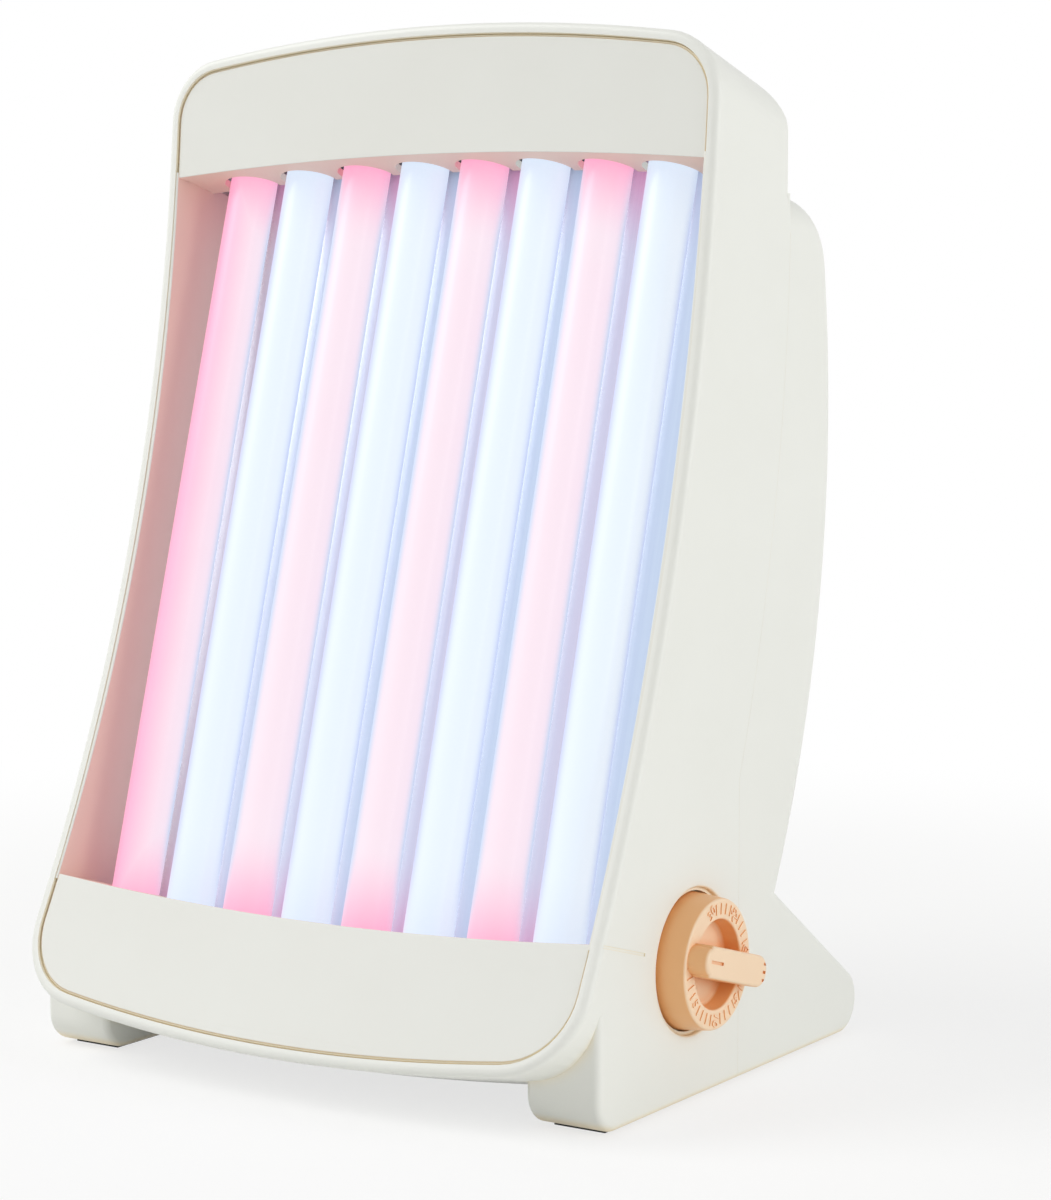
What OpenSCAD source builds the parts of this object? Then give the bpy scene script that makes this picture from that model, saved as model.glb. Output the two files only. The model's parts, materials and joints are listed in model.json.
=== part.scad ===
// Table-top tanning lamp: eight straight tubes in a leaning panel, with a clockwork timer.
// Millimetres, +Z up. The tubes face -Y. The origin is the middle of the overall box, on the table.

/* [Lamp tubes] */
// Diameter of a tube
tube_d = 16; // [14:0.5:17]
// Length of a tube over its end caps
tube_len = 288; // [282:1:294]
// Spacing of the tubes
tube_pitch = 24; // [22:0.5:25]
// Length of a tube's end cap
cap_len = 12; // [9:0.5:14]
// Length of a contact pin
pin_len = 7; // [5:0.5:8]
// Diameter of a contact pin
pin_d = 2.4; // [2:0.1:2.8]
// Spacing of a tube's two pins
pin_pitch = 4.75; // [4.5:0.05:5.2]

/* [Casing] */
// Backward lean of the tube panel in degrees
tilt = 15.7; // [14.5:0.1:16.5]
// Gap from the outermost tube to the edge of the rim
side_gap = 13.3; // [12:0.1:15]
// Width of the rim round the front
rim_w = 3.7; // [3.2:0.1:4.5]
// Depth of the rim
rim_depth = 6; // [4:0.5:9]
// Wall thickness of the casings
wall = 2.6; // [2:0.1:3]
// Length at each tube end that the header or the footer covers
end_cover = 18; // [16.5:0.5:20]
// Height of the header above the light opening
header_h = 41; // [39.5:0.5:45]
// Height of the footer below the light opening
footer_h = 43.5; // [42:0.5:46]
// Radius of the crowned top edge
crown_r = 650; // [560:10:800]
// Radius of the curved bottom edge
sole_r = 620; // [560:10:800]
// Radius of the upper corners
corner_top_r = 21; // [16:1:22]
// Radius of the lower corners
corner_low_r = 27; // [20:1:28]
// Radius of the concave front
face_r = 690; // [640:10:800]
// Distance from the tubes' plane forward to the middle of the front
face_gap = 6.1; // [4:0.1:10]
// Height of the lower front lip above the table
lip_h = 15.3; // [13:0.1:20]
// Height of the casing's flat underside above the table
underside_h = 9; // [7:0.5:10]
// Depth of the front casing at its top, behind the panel's centre line
shell_depth = 65.5; // [63:0.5:70]
// Radius of the upper rear edge
rear_edge_r = 30; // [20:1:32]

/* [Rear hump] */
// Drop from the top of the casing to the top of the hump
hump_drop = 56; // [50:1:62]
// Depth of the hump behind the front casing
hump_depth = 36.5; // [32:0.5:42]
// Radius of the hump's rounded back
hump_r = 357; // [340:1:380]
// Radius of the hump's upright edges
hump_edge_r = 12; // [8:1:16]
// Radius of the hump's top edge
hump_top_r = 24; // [16:1:26]
// Radius of the curved joint between the casings
seam_r = 560; // [520:10:620]
// Height of a vent slot
vent_h = 3; // [2:0.5:3.5]
// Width of a vent slot
vent_w = 62; // [40:1:70]
// Spacing of the vent slots
vent_pitch = 8; // [7:0.5:9]

/* [Feet] */
// Width of a foot
foot_w = 26.2; // [22:0.2:30]
// Distance of the foot's front behind the lower lip
foot_setback = 22; // [20:0.5:26]
// Reach of the feet behind the panel's centre line
foot_reach = 118.4; // [108:0.2:125]
// Radius of the foot's rear tip
foot_tip_r = 11; // [8:0.5:13]
// Radius of the foot's lower front edge
foot_toe_r = 6; // [4:0.5:8]
// Slope of the foot's upper edge in degrees
foot_slope = 34; // [30:0.5:36]
// Length of a rubber pad
pad_len = 24; // [16:1:30]
// Width of a rubber pad
pad_w = 18; // [12:1:19]
// Height by which the pads lift the feet
pad_lift = 1; // [0.6:0.1:1.4]
// Depth of a pad in its pocket
pad_seat = 1.2; // [0.8:0.1:1.4]

/* [Lamp surround] */
// Shadow groove between the rim and the surround
groove_w = 0.8; // [0.5:0.1:1.5]
// Thickness of the surround
surround_t = 2.4; // [1.8:0.1:3]
// Radius of the arched edges of the light opening
arch_r = 1180; // [900:10:1500]
// Clearance of the scallops round the tubes
scallop_gap = 2; // [1:0.1:2.8]
// Depth of the scalloped lips behind the tubes' plane
lip_depth = 2; // [1:0.5:5]
// Distance from the tubes' plane back to the reflector
reflector_back = 13.7; // [12:0.1:14]
// Thickness of the reflector
reflector_t = 0.8; // [0.5:0.1:1.2]

/* [Electrical gear] */
// Thickness of the chassis plate
chassis_t = 1; // [0.8:0.1:1.5]
// Width of a lampholder
holder_w = 16; // [13:0.5:18]
// Height of a lampholder
holder_h = 11.5; // [10:0.5:12]
// Thickness of a lampholder rail
rail_t = 1.5; // [1:0.1:2]
// Width of a ballast
ballast_w = 38; // [32:1:40]
// Height of a ballast's iron core
ballast_h = 28; // [22:1:34]
// Length of a ballast's foot plate
ballast_len = 95; // [88:1:98]
// Diameter of a starter
starter_d = 21.5; // [18:0.5:22]
// Length of a starter
starter_len = 34; // [28:1:38]
// Bore of the cord gland
cord_d = 7.2; // [6:0.1:8]

/* [Timer] */
// Distance of the knob's axis below the panel's centre
knob_drop = 120.4; // [118:0.2:123]
// Distance of the knob's axis behind the tubes' plane
knob_back = 40; // [39:0.5:43]
// Diameter of the knob's numbered face
knob_d = 41; // [38:0.5:42]
// Spread of the knob's skirt towards its base
knob_flare = 1; // [0:0.1:1.2]
// Distance of the knob's numbered face from the casing's side
knob_stand = 8.4; // [7:0.1:10]
// Height of the grip bar above the numbered face
grip_rise = 6.6; // [5:0.1:9]
// Thickness of the grip bar
grip_t = 10; // [8:0.5:12]
// Diameter of the knob's dish
dish_d = 28; // [24:0.5:30]
// Depth of the knob's dish
dish_depth = 6; // [4:0.5:7]
// Diameter of the round recess in the casing
recess_d = 45.5; // [45:0.1:47]
// Depth of the round recess
recess_depth = 5; // [4:0.1:5.5]
// Diameter of the timer's shaft
shaft_d = 6; // [5:0.5:7]
// Side of the square timer case
case_w = 38; // [36.5:0.5:40]
// Depth of the timer case
case_depth = 22; // [21:0.5:26]
// Module of the timer's gears
gear_module = 0.65; // [0.6:0.01:0.66]

/* [Fasteners] */
// Diameter of the casing, chassis and timer screws
screw_d = 3; // [2.5:0.1:3.4]
// Diameter of a screw head
screw_head_d = 5.6; // [5:0.1:6]
// Height of a screw head
screw_head_h = 2; // [1.6:0.1:2.4]

/* [Hidden] */
$fn = 64;
far = 400;
large_fn = 360;

// Fits
fit_gap = 0.1;
joint_gap = 0.05;
seat_gap = 0.2;
run_gap = 0.6;

// Panel: x across, y back from the tubes' plane, z up along the tubes
tube_count = 8;
tube_half = tube_len / 2;
light_half = tube_half - end_cover;
top_v = light_half + header_h;
// The lower chassis seats keep clear of the timer's case, and the casing reaches below them
seat_over = 6;
seat_v = tube_half + seat_over;
seat_w = 12;
seat_clear = 2;
seat_low_v = max(seat_v, knob_drop + (case_w + seat_w) / 2 + seat_clear);
seat_room = 16;
low_v = max(light_half + footer_h, seat_low_v + seat_room);
outer_tube_x = tube_pitch * (tube_count - 1) / 2;
half_w = outer_tube_x + tube_d / 2 + side_gap + rim_w;
function face_w(v) = face_gap + face_r - sqrt(face_r * face_r - v * v);
function tube_x(i) = i * tube_pitch - outer_tube_x;
panel_h = lip_h + low_v * cos(tilt) - face_w(low_v) * sin(tilt);
casing_h = panel_h + top_v * cos(tilt) + face_w(top_v) * sin(tilt);
lip_y = -low_v * sin(tilt) - face_w(low_v) * cos(tilt);
function panel_y(v, w) = v * sin(tilt) + w * cos(tilt);
function panel_z(v, w) = panel_h + v * cos(tilt) - w * sin(tilt);

// Knob and its recess
knob_y = panel_y(-knob_drop, knob_back);
cup_wall = 1.6;
cup_r = recess_d / 2 + cup_wall;
recess_x = half_w - recess_depth;
cup_floor_t = 2;
cup_x = recess_x - cup_floor_t;
knob_face_x = half_w + knob_stand;
knob_tip_x = knob_face_x + grip_rise;
knob_base_x = recess_x + run_gap;

// Side view of the casings
rear_y = shell_depth;
hump_top = casing_h - hump_drop;
hump_back = rear_y + hump_depth;
hump_mid_drop = 73;
hump_axis_y = hump_back - hump_r;
hump_axis_z = hump_top - hump_mid_drop;
hump_shoulder = 1.5;
seam_margin = 5.4;
seam_low_y = knob_y + recess_d / 2 + seam_margin;
seam_low_z = hump_top - sqrt(seam_r * seam_r - pow(seam_r - rear_y + seam_low_y, 2));
function seam_y(z) = z > hump_top ? rear_y : z < seam_low_z ? seam_low_y :
    rear_y - seam_r + sqrt(seam_r * seam_r - pow(hump_top - z, 2));
rear_lip = 5;
foot_toe_y = lip_y + foot_setback;
foot_rise = 38;
foot_root_h = 62;
foot_peak_h = 75;

// The origin is the middle of the overall box
frame_x = (knob_tip_x - half_w) / 2;
frame_y = (lip_y + foot_reach) / 2;

// Gear behind the tubes
reflector_rear = reflector_back + reflector_t;
chassis_rear = reflector_rear + chassis_t;
cheek_out = half_w - rim_w - seat_gap;
cheek_in = cheek_out - surround_t;
reflector_margin = 6;
reflector_half_v = light_half + reflector_margin;
chassis_half = cheek_out - run_gap;
cup_clear = 2;
chassis_low_half = cup_x - cup_clear;
chassis_end_inset = 11;
chassis_end_half = half_w - chassis_end_inset;
chassis_over = 12;
chassis_end_v = tube_half + chassis_over;
chassis_end_low = seat_low_v + chassis_over - seat_over;
notch_clear = 5;
chassis_notch_v = knob_drop - cup_r - notch_clear;
seat_inset = 14;
seat_x = half_w - seat_inset;
seat_len = 10;
seat_floor = 1;
holder_v = tube_half + seat_gap;
holder_depth = 9;
rail_half = outer_tube_x + holder_w / 2;
cap_wall = 0.5;
glass_t = 0.8;
pin_pocket_d = 9;
pin_slot_w = 3.2;
ballast_apart = 16;
ballast_x = (ballast_w + ballast_apart) / 2;
ballast_v = [62, -42];
ballast_core_len = 60;
ballast_coil_len = 78;
ballast_foot_t = 1.2;
coil_inset = 7.2;
post_d = 10;
post_inset = 17;
post_x = half_w - post_inset;
starter_clear = 4.25;
starter_x = post_x - (post_d + starter_d) / 2 - starter_clear;
starter_v = [95, 60, 25, -10];
socket_wall = 2;
socket_d = starter_d + 2 * socket_wall;
socket_h = 10;
socket_floor = 3;
terminal_v = -118;
terminal_w = 56;
terminal_d = 16;
terminal_h = 15;
terminal_ways = 3;
terminal_pitch = 14;
wire_hole_d = 4;
terminal_screw_inset = 5;
gland_x = -62;
gland_angle = 29;
gland_d = 12;
gland_flange_d = 19;
gland_flange_t = 3;
gland_collar_d = 15;
gland_collar_t = 3;
gland_bore_run = 20;

// Casing screws: x, z of each, on both sides of the middle plane
post_low_x = 40;
post_low_z = 24;
post_high_drop = 25;
post_mid_z = 92;
posts = [
    for (s = [-1, 1])
        for (p = [[post_x, hump_top - post_high_drop], [post_x, post_mid_z], [post_low_x, post_low_z]])
            [s * p[0], p[1]]
];
boss_len = 14;
boss_floor = 2;
boss_d = 9;
rib_t = 3;
grip_len = 6;
driver_d = 8;
casing_screw_len = 16;
screw_hole_run = 10;

// Timer
plate_t = 2;
plate_x = cup_x - plate_t;
case_x = plate_x - case_depth;
case_t = 1.5;
wheel_teeth = 40;
pinion_teeth = 8;
wheel_r = gear_module * wheel_teeth / 2;
pinion_r = gear_module * pinion_teeth / 2;
arbor_span = wheel_r + pinion_r;
arbor_d = 2;
arbor_angle = 45;
gear_set = 8;
gear_x = plate_x - gear_set;
gear_t = 2;
pinion_over = 1;
hub_wall = 2;
hub_len = 2;
cam_set = 14;
cam_x = plate_x - cam_set;
cam_t = 3;
cam_r = 10.5;
cam_notch_r = 2;
escape_set = 17.5;
escape_x = plate_x - escape_set;
escape_r = 4.5;
escape_t = 1;
journal_step = 1;
journal_d = shaft_d - 2 * journal_step;
shaft_cover = 2.4;
shaft_end_x = knob_face_x - shaft_cover;
timer_screw_r = 12;
timer_screw_len = 5;
knob_t = 2;
knob_hub_wall = 2.5;
knob_hub_d = shaft_d + 2 * knob_hub_wall;

// Placing
module in_frame() translate([-frame_x, -frame_y, 0]) children();
module in_panel() translate([0, 0, panel_h]) rotate([-tilt, 0, 0]) children();
module at_knob() in_panel() translate([0, knob_back, -knob_drop]) children();
module at_hump() translate([0, hump_axis_y, hump_axis_z]) children();
module both_sides() for (s = [0, 1]) mirror([s, 0, 0]) children();

// Extrudes a (y, z) outline along x, and an (x, z) outline along y
module along_x(x0, x1) translate([x0, 0, 0]) rotate([90, 0, 90]) linear_extrude(x1 - x0) children();
module along_y(y0, y1) translate([0, y1, 0]) rotate([90, 0, 0]) linear_extrude(y1 - y0) children();
module rod_x(r, x0, x1) translate([x0, 0, 0]) rotate([0, 90, 0]) cylinder(r = r, h = x1 - x0);
module rod_y(r, y0, y1) translate([0, y0, 0]) rotate([-90, 0, 0]) cylinder(r = r, h = y1 - y0);
module rod_z(r, z0, z1) translate([0, 0, z0]) cylinder(r = r, h = z1 - z0);
module box(x0, x1, y0, y1, z0, z1) translate([x0, y0, z0]) cube([x1 - x0, y1 - y0, z1 - z0]);

function arc(c, r, a0, a1, n) = [
    for (i = [0:n]) let (a = a0 + (a1 - a0) * i / n) [c[0] + r * cos(a), c[1] + r * sin(a)]
];

// Screw along -y from its seat at y = 0, with its head on the +y side
module screw(len) {
    slot_t = screw_head_d / 5;
    slot_len = screw_head_d * 0.7;
    rod_y(screw_d / 2, -len, 0);
    difference() {
        rod_y(screw_head_d / 2, 0, screw_head_h);
        for (a = [0, 90])
            rotate([0, a, 0])
                box(-slot_len / 2, slot_len / 2, screw_head_h / 2, far, -slot_t / 2, slot_t / 2);
    }
}

// Front view of the casing, set in by i: crowned top, curved bottom and round corners
function corner_rise(apex, edge_r, r) =
    apex - edge_r + sqrt(pow(edge_r - r, 2) - pow(half_w - r, 2));
function corner_turn(edge_r, r) = acos((half_w - r) / (edge_r - r));
corner_n = 8;
edge_n = 16;
function casing_outline(i) =
    let (
        top_c = [half_w - corner_top_r, corner_rise(top_v, crown_r, corner_top_r)],
        low_c = [half_w - corner_low_r, -corner_rise(low_v, sole_r, corner_low_r)],
        top_a = corner_turn(crown_r, corner_top_r),
        low_a = corner_turn(sole_r, corner_low_r)
    )
    concat(
        arc(low_c, corner_low_r - i, -low_a, 0, corner_n),
        arc(top_c, corner_top_r - i, 0, top_a, corner_n),
        [for (k = [1:edge_n - 1]) arc([0, top_v - crown_r], crown_r - i, top_a, 180 - top_a, edge_n)[k]],
        arc([-top_c[0], top_c[1]], corner_top_r - i, 180 - top_a, 180, corner_n),
        arc([-low_c[0], low_c[1]], corner_low_r - i, 180, 180 + low_a, corner_n),
        [for (k = [1:edge_n - 1]) arc([0, sole_r - low_v], sole_r - i, 180 + low_a, 360 - low_a, edge_n)[k]]
    );
prism_front = -60;
prism_back = 140;
module casing_prism(i) in_panel() along_y(prism_front, prism_back) polygon(casing_outline(i));

// Round front: everything before the concave face, moved back by set
module before_face(set) in_panel()
    translate([0, -face_gap - face_r, 0])
        rotate([0, 90, 0])
            cylinder(r = face_r + set, h = 3 * half_w, center = true, $fn = large_fn);

// Side view of the front casing: up the joint, round the upper rear edge and away to the front
edge_over = 0.5;
rear_edge_c = [
    rear_y - rear_edge_r,
    panel_h + (top_v + edge_over - rear_edge_r - (rear_y - rear_edge_r) * sin(tilt)) / cos(tilt)
];
rear_edge_n = 8;
seam_n = 12;
function rear_edge(i) = arc(rear_edge_c, rear_edge_r - i, 0, 90 - tilt, rear_edge_n);
function seam_line() = [
    for (k = [0:seam_n]) let (z = seam_low_z + (hump_top - seam_low_z) * k / seam_n) [seam_y(z), z]
];
module front_side() polygon(concat(
    [[-far, underside_h], [seam_low_y, underside_h]],
    seam_line(),
    rear_edge(0),
    [[-far, far + casing_h]]
));
module front_hollow_side() polygon(concat(
    [[-far, underside_h + wall], [far, underside_h + wall], [far, hump_top - rear_lip],
     [rear_y - wall, hump_top - rear_lip]],
    rear_edge(wall),
    [[-far, far + casing_h]]
));

// Side view of the rear casing, set in by i: the joint or an open front, the flat top and its round edge
hump_top_c = [hump_back - hump_shoulder - hump_top_r, hump_top - hump_top_r];
function hump_side(i) = concat(
    [[far, underside_h + i], [far, hump_top_c[1]]],
    arc(hump_top_c, hump_top_r - i, 0, 90, rear_edge_n)
);
module rear_side() polygon(concat(
    [[seam_low_y, underside_h]],
    hump_side(0),
    [for (k = [0:seam_n]) seam_line()[seam_n - k]]
));
module rear_hollow_side() polygon(concat(
    [[-far, underside_h + wall]],
    hump_side(wall),
    [[-far, hump_top - wall]]
));

// Round back of the hump with its rounded upright edges, set in by i
module hump_round(i) at_hump() rotate([0, 90, 0])
    rotate_extrude($fn = large_fn)
        polygon(concat(
            [[0, -half_w + i]],
            arc([hump_r - hump_edge_r, hump_edge_r - half_w], hump_edge_r - i, -90, 0, corner_n),
            arc([hump_r - hump_edge_r, half_w - hump_edge_r], hump_edge_r - i, 0, 90, corner_n),
            [[0, half_w - i]]
        ));

// Foot from the side, set in by i: toe, sole, rear tip and sloping upper edge
foot_tip_c = [foot_reach - foot_tip_r, pad_lift + foot_tip_r];
foot_toe_c = [foot_toe_y + foot_toe_r, pad_lift + foot_toe_r];
foot_n = 8;
function foot_outline(i) =
    let (
        tip = arc(foot_tip_c, foot_tip_r - i, -90, 90 - foot_slope, foot_n),
        crest = tip[foot_n],
        peak_y = crest[0] - (foot_peak_h - crest[1]) / tan(foot_slope)
    )
    concat(
        tip,
        [[peak_y, foot_peak_h], [foot_toe_y / 2, foot_root_h], [foot_toe_y + i, foot_rise]],
        arc(foot_toe_c, foot_toe_r - i, 180, 270, foot_n)
    );
module feet(i, y0, y1) both_sides() intersection() {
    along_x(half_w - foot_w + i, half_w - i) polygon(foot_outline(i));
    box(0, 2 * half_w, y0, y1, -far, far);
}

// Rubber pads: a front and a rear one under each foot
pad_edge = 10;
pads_y = [foot_toe_y + pad_edge + pad_len / 2, foot_reach - pad_edge - pad_len / 2];
module pads(gap) both_sides()
    for (y = pads_y)
        translate([half_w - foot_w / 2, y, 0])
            box(-pad_w / 2 - gap, pad_w / 2 + gap, -pad_len / 2 - gap, pad_len / 2 + gap,
                gap > 0 ? -1 : 0, pad_lift + pad_seat);

// Front casing: rim, side walls, front of the feet, knob recess, chassis seats and screw bosses
module front_outer() {
    intersection() {
        difference() {
            casing_prism(0);
            before_face(0);
        }
        along_x(-half_w - 1, half_w + 1) front_side();
    }
}
module front_hollow() {
    intersection() {
        union() {
            casing_prism(rim_w);
            difference() {
                casing_prism(wall);
                before_face(rim_depth);
            }
        }
        along_x(-half_w, half_w) front_hollow_side();
    }
}
module chassis_seats() intersection() {
    in_panel() both_sides()
        for (v = [-seat_low_v, seat_v])
            box(seat_x - seat_w / 2, half_w, chassis_rear, chassis_rear + seat_len,
                v - seat_w / 2, v + seat_w / 2);
    union() {
        casing_prism(wall / 2);
        feet(wall / 2, -far, seam_low_y);
    }
    along_x(-half_w, half_w) front_side();
}
module front_bosses() for (p = posts) translate([p[0], seam_y(p[1]), p[1]]) {
    rod_y(boss_d / 2, -boss_len, 0);
    if (abs(p[0]) == post_low_x)
        box(-rib_t / 2, rib_t / 2, -boss_len, 0, underside_h + wall / 2 - p[1], 0);
    else
        mirror([p[0] > 0 ? 0 : 1, 0, 0])
            box(0, half_w - wall / 2 - post_x, -boss_len, 0, -rib_t / 2, rib_t / 2);
}
index_w = 1;
index_depth = 0.5;
index_end = 9.2;
index_over = 1;
module front_casing() color("whitesmoke") difference() {
    union() {
        difference() {
            union() {
                front_outer();
                feet(0, -far, seam_low_y);
            }
            front_hollow();
            feet(wall, -far, far);
        }
        at_knob() rod_x(cup_r, cup_x, half_w - wall / 2);
        chassis_seats();
        front_bosses();
    }
    at_knob() {
        rod_x(recess_d / 2, recess_x, far);
        rod_x(shaft_d / 2 + run_gap, 0, far);
        for (s = [-1, 1])
            translate([0, 0, s * timer_screw_r])
                rod_x(screw_d / 2 + fit_gap, 0, far);
    }
    in_panel() box(half_w - index_depth, far, -far, index_end,
        -knob_drop - index_over - index_w / 2, -knob_drop - index_over + index_w / 2);
    in_panel() both_sides()
        for (v = [-seat_low_v, seat_v])
            translate([seat_x, 0, v])
                rod_y(screw_d / 2 + joint_gap, 0, chassis_rear + seat_len - seat_floor);
    for (p = posts)
        translate([p[0], seam_y(p[1]), p[1]])
            rod_y(screw_d / 2 + joint_gap, boss_floor - boss_len, far);
    pads(seat_gap);
}

// Rear casing: hump, rear of the feet, screw posts, vents and the gland's hole
module rear_outer() intersection() {
    hump_round(0);
    along_x(-half_w - 1, half_w + 1) rear_side();
}
module rear_posts() intersection() {
    for (p = posts)
        translate([p[0], seam_y(p[1]), p[1]])
            rod_y(post_d / 2, 0, far);
    hump_round(wall / 2);
}
module at_gland() at_hump() translate([gland_x, 0, 0]) rotate([-gland_angle, 0, 0]) children();
vent_x = 43.6;
vents_high = [0:5];
vents_low = [0:4];
vent_turn = vent_pitch / hump_r * 180 / PI;
vent_high_a = 0.5;
vent_low_a = -19;
module vent(a) at_hump() rotate([a, 0, 0])
    box(-vent_w / 2, vent_w / 2, hump_r - 4 * wall, hump_r + 1, -vent_h / 2, vent_h / 2);
module rear_casing() color("whitesmoke") difference() {
    union() {
        difference() {
            union() {
                rear_outer();
                feet(0, seam_low_y, far);
            }
            intersection() {
                hump_round(wall);
                along_x(-half_w, half_w) rear_hollow_side();
            }
            feet(wall, -far, far);
        }
        rear_posts();
    }
    for (p = posts)
        translate([p[0], seam_y(p[1]), p[1]]) {
            rod_y(screw_d / 2 + fit_gap, -1, far);
            rod_y(driver_d / 2, grip_len, far);
        }
    for (s = [-1, 1])
        translate([s * vent_x, 0, 0]) {
            for (k = vents_high)
                vent(vent_high_a + k * vent_turn);
            for (k = vents_low)
                vent(vent_low_a + k * vent_turn);
        }
    at_gland() rod_y(gland_d / 2 + fit_gap, hump_r - gland_bore_run, hump_r + gland_bore_run);
    pads(seat_gap);
}

// Lamp surround: header and footer plates, scalloped lips and cheeks
surround_set = 0.8;
arch_n = 12;
arch_turn = asin(cheek_out / arch_r);
function arch(set) = arc([0, light_half + set - arch_r], arch_r, 90 - arch_turn, 90 + arch_turn, arch_n);
module light_opening() polygon(concat(arch(0), [for (p = arch(0)) -p]));
module lip_band() polygon(concat(arch(0), [for (k = [0:arch_n]) arch(surround_t)[arch_n - k]]));
module lamp_surround() color("whitesmoke") {
    difference() {
        union() {
            intersection() {
                in_panel() along_y(prism_front, face_gap)
                    difference() {
                        polygon(casing_outline(rim_w + groove_w));
                        light_opening();
                    }
                before_face(surround_set + surround_t);
            }
            in_panel() for (s = [0, 1])
                mirror([0, 0, s]) along_y(prism_front, lip_depth) lip_band();
            in_panel() both_sides()
                along_y(prism_front, reflector_rear) intersection() {
                    translate([cheek_in, -light_half - surround_t])
                        square([cheek_out - cheek_in, 2 * (light_half + surround_t)]);
                    polygon(concat(arch(surround_t / 2), [for (p = arch(surround_t / 2)) -p]));
                }
        }
        before_face(surround_set);
        in_panel() for (i = [0:tube_count - 1])
            translate([tube_x(i), 0, 0])
                rod_z(tube_d / 2 + scallop_gap, -tube_half, tube_half);
    }
}

// Polished reflector on the chassis plate
module reflector() color("silver") in_panel()
    box(-cheek_in + seat_gap, cheek_in - seat_gap, reflector_back, reflector_rear,
        -reflector_half_v, reflector_half_v);

// Chassis plate: wide behind the light opening, narrow beside the timer and at its ends
module chassis_screw_places() in_panel() both_sides()
    for (v = [-seat_low_v, seat_v])
        translate([seat_x, reflector_rear, v])
            rotate([180, 0, 0]) children();
module chassis_plate() color("lightgray") difference() {
    in_panel() union() {
        box(-chassis_half, chassis_half, reflector_rear, chassis_rear, -chassis_notch_v, light_half);
        box(-chassis_low_half, chassis_low_half, reflector_rear, chassis_rear, -light_half, light_half);
        box(-chassis_end_half, chassis_end_half, reflector_rear, chassis_rear,
            -chassis_end_low, chassis_end_v);
    }
    chassis_screw_places() rod_y(screw_d / 2 + fit_gap, -screw_hole_run, screw_hole_run);
    ballast_screw_places() rod_y(screw_d / 2 + joint_gap, -screw_hole_run, screw_hole_run);
    terminal_screw_places() rod_y(screw_d / 2 + joint_gap, -screw_hole_run, screw_hole_run);
}

// Lampholders and their rails, upper or lower by s
module holder_rail(s) in_panel()
    mirror([0, 0, s]) box(-rail_half, rail_half, reflector_rear - rail_t, reflector_rear,
        holder_v, holder_v + holder_h);
module lampholders(s) in_panel() mirror([0, 0, s])
    for (i = [0:tube_count - 1])
        translate([tube_x(i), 0, holder_v])
            difference() {
                box(-holder_w / 2, holder_w / 2, -holder_depth, reflector_rear - rail_t, 0, holder_h);
                rod_z(pin_pocket_d / 2, -1, pin_len + 1);
                box(-pin_slot_w / 2, pin_slot_w / 2, -far, 0, -1, pin_len + 1);
            }
module upper_holder_rail() color("silver") holder_rail(0);
module lower_holder_rail() color("silver") holder_rail(1);
module upper_lampholders() color("white") lampholders(0);
module lower_lampholders() color("white") lampholders(1);

// One glass tube, its caps and its pins
module glass_tube(i) in_panel() translate([tube_x(i), 0, 0])
    difference() {
        rod_z(tube_d / 2, cap_wall - tube_half, tube_half - cap_wall);
        rod_z(tube_d / 2 - glass_t, 2 * cap_wall - tube_half, tube_half - 2 * cap_wall);
    }
module red_tube(i) color("pink") glass_tube(2 * i);
module uv_tube(i) color("aliceblue") glass_tube(2 * i + 1);
module each_tube_end() in_panel()
    for (i = [0:tube_count - 1])
        for (s = [0, 1])
            translate([tube_x(i), 0, 0])
                mirror([0, 0, s]) children();
module tube_caps() color("silver") each_tube_end()
    difference() {
        rod_z(tube_d / 2 + cap_wall, tube_half - cap_len, tube_half);
        rod_z(tube_d / 2 + joint_gap / 2, tube_half - cap_len - 1, tube_half - cap_wall);
    }
module tube_pins() color("gold") each_tube_end()
    for (s = [-1, 1])
        translate([s * pin_pitch / 2, 0, 0])
            rod_z(pin_d / 2, tube_half, tube_half + pin_len);

// Ballast: iron core round a coil, on a foot plate
module at_ballast(i) in_panel()
    translate([(i % 2 == 0 ? -1 : 1) * ballast_x, chassis_rear, ballast_v[floor(i / 2)]]) children();
ballast_screw_v = (ballast_len + ballast_coil_len) / 4;
module ballast(i) color("dimgray") at_ballast(i) {
    coil_w = ballast_w - 2 * coil_inset;
    coil_d = ballast_h - coil_inset;
    difference() {
        box(-ballast_w / 2, ballast_w / 2, 0, ballast_foot_t, -ballast_len / 2, ballast_len / 2);
        for (s = [-1, 1])
            translate([0, 0, s * ballast_screw_v])
                rod_y(screw_d / 2 + fit_gap, -1, screw_hole_run);
    }
    box(-ballast_w / 2, ballast_w / 2, 0, ballast_h, -ballast_core_len / 2, ballast_core_len / 2);
    box(-coil_w / 2, coil_w / 2, ballast_foot_t, coil_d, -ballast_coil_len / 2, ballast_coil_len / 2);
}
module ballast_screw_places()
    for (i = [0:3])
        at_ballast(i)
            for (s = [-1, 1])
                translate([0, ballast_foot_t, s * ballast_screw_v]) children();

// Starters in their sockets, four on each side
module each_starter() in_panel() both_sides()
    for (v = starter_v)
        translate([starter_x, chassis_rear, v]) children();
module starter_sockets() color("white") each_starter() difference() {
    rod_y(socket_d / 2, 0, socket_h);
    rod_y(starter_d / 2 + seat_gap, socket_floor, socket_h + 1);
}
module starters() color("gainsboro") each_starter()
    rod_y(starter_d / 2, socket_floor, socket_floor + starter_len);

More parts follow.
